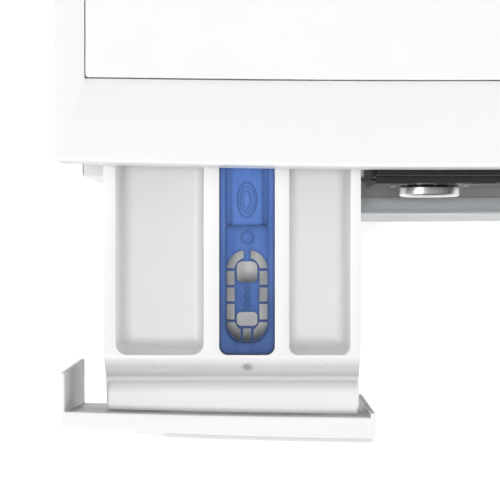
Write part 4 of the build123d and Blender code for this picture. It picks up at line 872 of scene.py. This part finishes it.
def make_panel_marks():
    """Marks printed on the control glass: programme ticks, display, lamps, power and start signs."""
    prints = programme_ticks() + [display_frame()] + power_sign() + start_sign() + lamp_labels()
    grey = panel_ink("panel_ink", (0.62, 0.62, 0.62))
    bright = panel_ink("display_light", (0.75, 0.85, 0.9), 0.5)
    dim = panel_ink("lamp_light", (0.75, 0.85, 0.9), 0.2)
    new_panel_mark("panel_print", prints, 0.7, 0.10, grey)
    new_panel_mark("panel_display", display_time(), 1.1, 0.12, bright)
    new_panel_mark("panel_lamps", lamp_rings(), 1.0, 0.12, dim)


make_tray_marks()
make_panel_marks()


# ---------------------------------------------------------------- stage, lights and camera

LID_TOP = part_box("worktop_board")[1].z
CAMERA_ABOVE_LID = 0.920
CAMERA_X = -0.1495
CAMERA_Y = -0.332
FLOOR_SIZE = 14
FLOOR_GLOW = 0.12
DOME_RADIUS = 9.5
DOME_DROP = 0.5
WALL_GLOW = 0.085
CEILING_GLOW = 0.40
SUN_DISTANCE = 3


def make_floor():
    """Pale floor that glows a little and throws no diffuse light back at the object."""
    bpy.ops.mesh.primitive_plane_add(size=FLOOR_SIZE, location=(0, 0, 0))
    floor = bpy.context.object
    floor.name = "studio_floor"
    made = material("studio_floor", (0.95, 0.95, 0.95), 0.7)
    shader_of(made).inputs["Emission Color"].default_value = (1, 1, 1, 1)
    shader_of(made).inputs["Emission Strength"].default_value = FLOOR_GLOW
    vary_roughness(made, noise(made, 3.0), 0, 0.6, 0.8)
    floor.data.materials.append(made)
    floor.visible_diffuse = False


def make_backdrop():
    """White dome behind everything, seen by the camera alone."""
    bpy.ops.mesh.primitive_uv_sphere_add(segments=48, ring_count=24, radius=DOME_RADIUS,
                                         location=(0, 0, -DOME_DROP))
    dome = bpy.context.object
    dome.name = "studio_backdrop"
    made = material("studio_backdrop", (0.0, 0.0, 0.0), 1.0)
    shader_of(made).inputs["Emission Color"].default_value = (1, 1, 1, 1)
    shader_of(made).inputs["Emission Strength"].default_value = 1.0
    dome.data.materials.append(made)
    dome.visible_diffuse = False
    dome.visible_glossy = False
    dome.visible_transmission = False
    dome.visible_volume_scatter = False
    dome.visible_shadow = False


def sun(name, toward, strength, softness):
    """Soft distant light that no reflection shows; toward is the direction the light comes from."""
    data = bpy.data.lights.new(name, "SUN")
    data.energy = strength
    data.angle = math.radians(softness)
    light = bpy.data.objects.new(name, data)
    light.location = Vector(toward) * SUN_DISTANCE
    light.rotation_euler = Vector(toward).to_track_quat("Z", "Y").to_euler()
    light.visible_glossy = False
    bpy.context.scene.collection.objects.link(light)


def softbox(name, place_at, toward, width, height, power):
    """Large lamp that shows only in glossy surfaces."""
    data = bpy.data.lights.new(name, "AREA")
    data.shape = "RECTANGLE"
    data.size = width
    data.size_y = height
    data.energy = power
    light = bpy.data.objects.new(name, data)
    light.location = place_at
    light.rotation_euler = (Vector(place_at) - Vector(toward)).to_track_quat("Z", "Y").to_euler()
    light.visible_diffuse = False
    light.visible_camera = False
    bpy.context.scene.collection.objects.link(light)


def light_studio():
    """Studio light: a sky brighter overhead, a key from above, low fills all round and a box for gloss."""
    world = bpy.data.worlds.new("studio")
    bpy.context.scene.world = world
    world.use_nodes = True
    tree = world.node_tree
    coords = tree.nodes.new("ShaderNodeTexCoord")
    height = tree.nodes.new("ShaderNodeSeparateXYZ")
    ceiling = tree.nodes.new("ShaderNodeMapRange")
    ceiling.interpolation_type = "SMOOTHSTEP"
    ceiling.inputs["From Min"].default_value = 0.15
    ceiling.inputs["From Max"].default_value = 0.95
    ceiling.inputs["To Min"].default_value = WALL_GLOW
    ceiling.inputs["To Max"].default_value = CEILING_GLOW
    tree.links.new(coords.outputs["Generated"], height.inputs[0])
    tree.links.new(height.outputs["Z"], ceiling.inputs[0])
    tree.links.new(ceiling.outputs[0], tree.nodes["Background"].inputs[1])
    tree.nodes["Background"].inputs[0].default_value = (1, 1, 1, 1)
    sun("key", (-0.03, -0.10, 1.0), 1.90, 18)
    softbox("left_box", (-2.4, -0.6, 1.9), (0, -0.3, 0.75), 2.4, 2.6, 110)
    sun("front_fill", (-0.30, -1.0, 0.12), 1.5, 40)
    sun("left_fill", (-1.0, 0.1, 0.10), 1.5, 30)
    sun("right_fill", (1.0, -0.1, 0.10), 1.35, 30)
    sun("rear_fill", (0.15, 1.0, 0.12), 0.8, 30)
    bpy.context.scene.view_settings.view_transform = "Standard"


def make_camera():
    """Camera that looks straight down on the drawer."""
    data = bpy.data.cameras.new("camera")
    data.lens = 88.0
    data.sensor_width = 36.0
    data.clip_start = 0.05
    data.clip_end = 50.0
    camera = bpy.data.objects.new("camera", data)
    camera.location = (CAMERA_X, CAMERA_Y, LID_TOP + CAMERA_ABOVE_LID)
    camera.rotation_euler = (0, 0, 0)
    bpy.context.scene.collection.objects.link(camera)
    bpy.context.scene.camera = camera


make_floor()
make_backdrop()
light_studio()
make_camera()
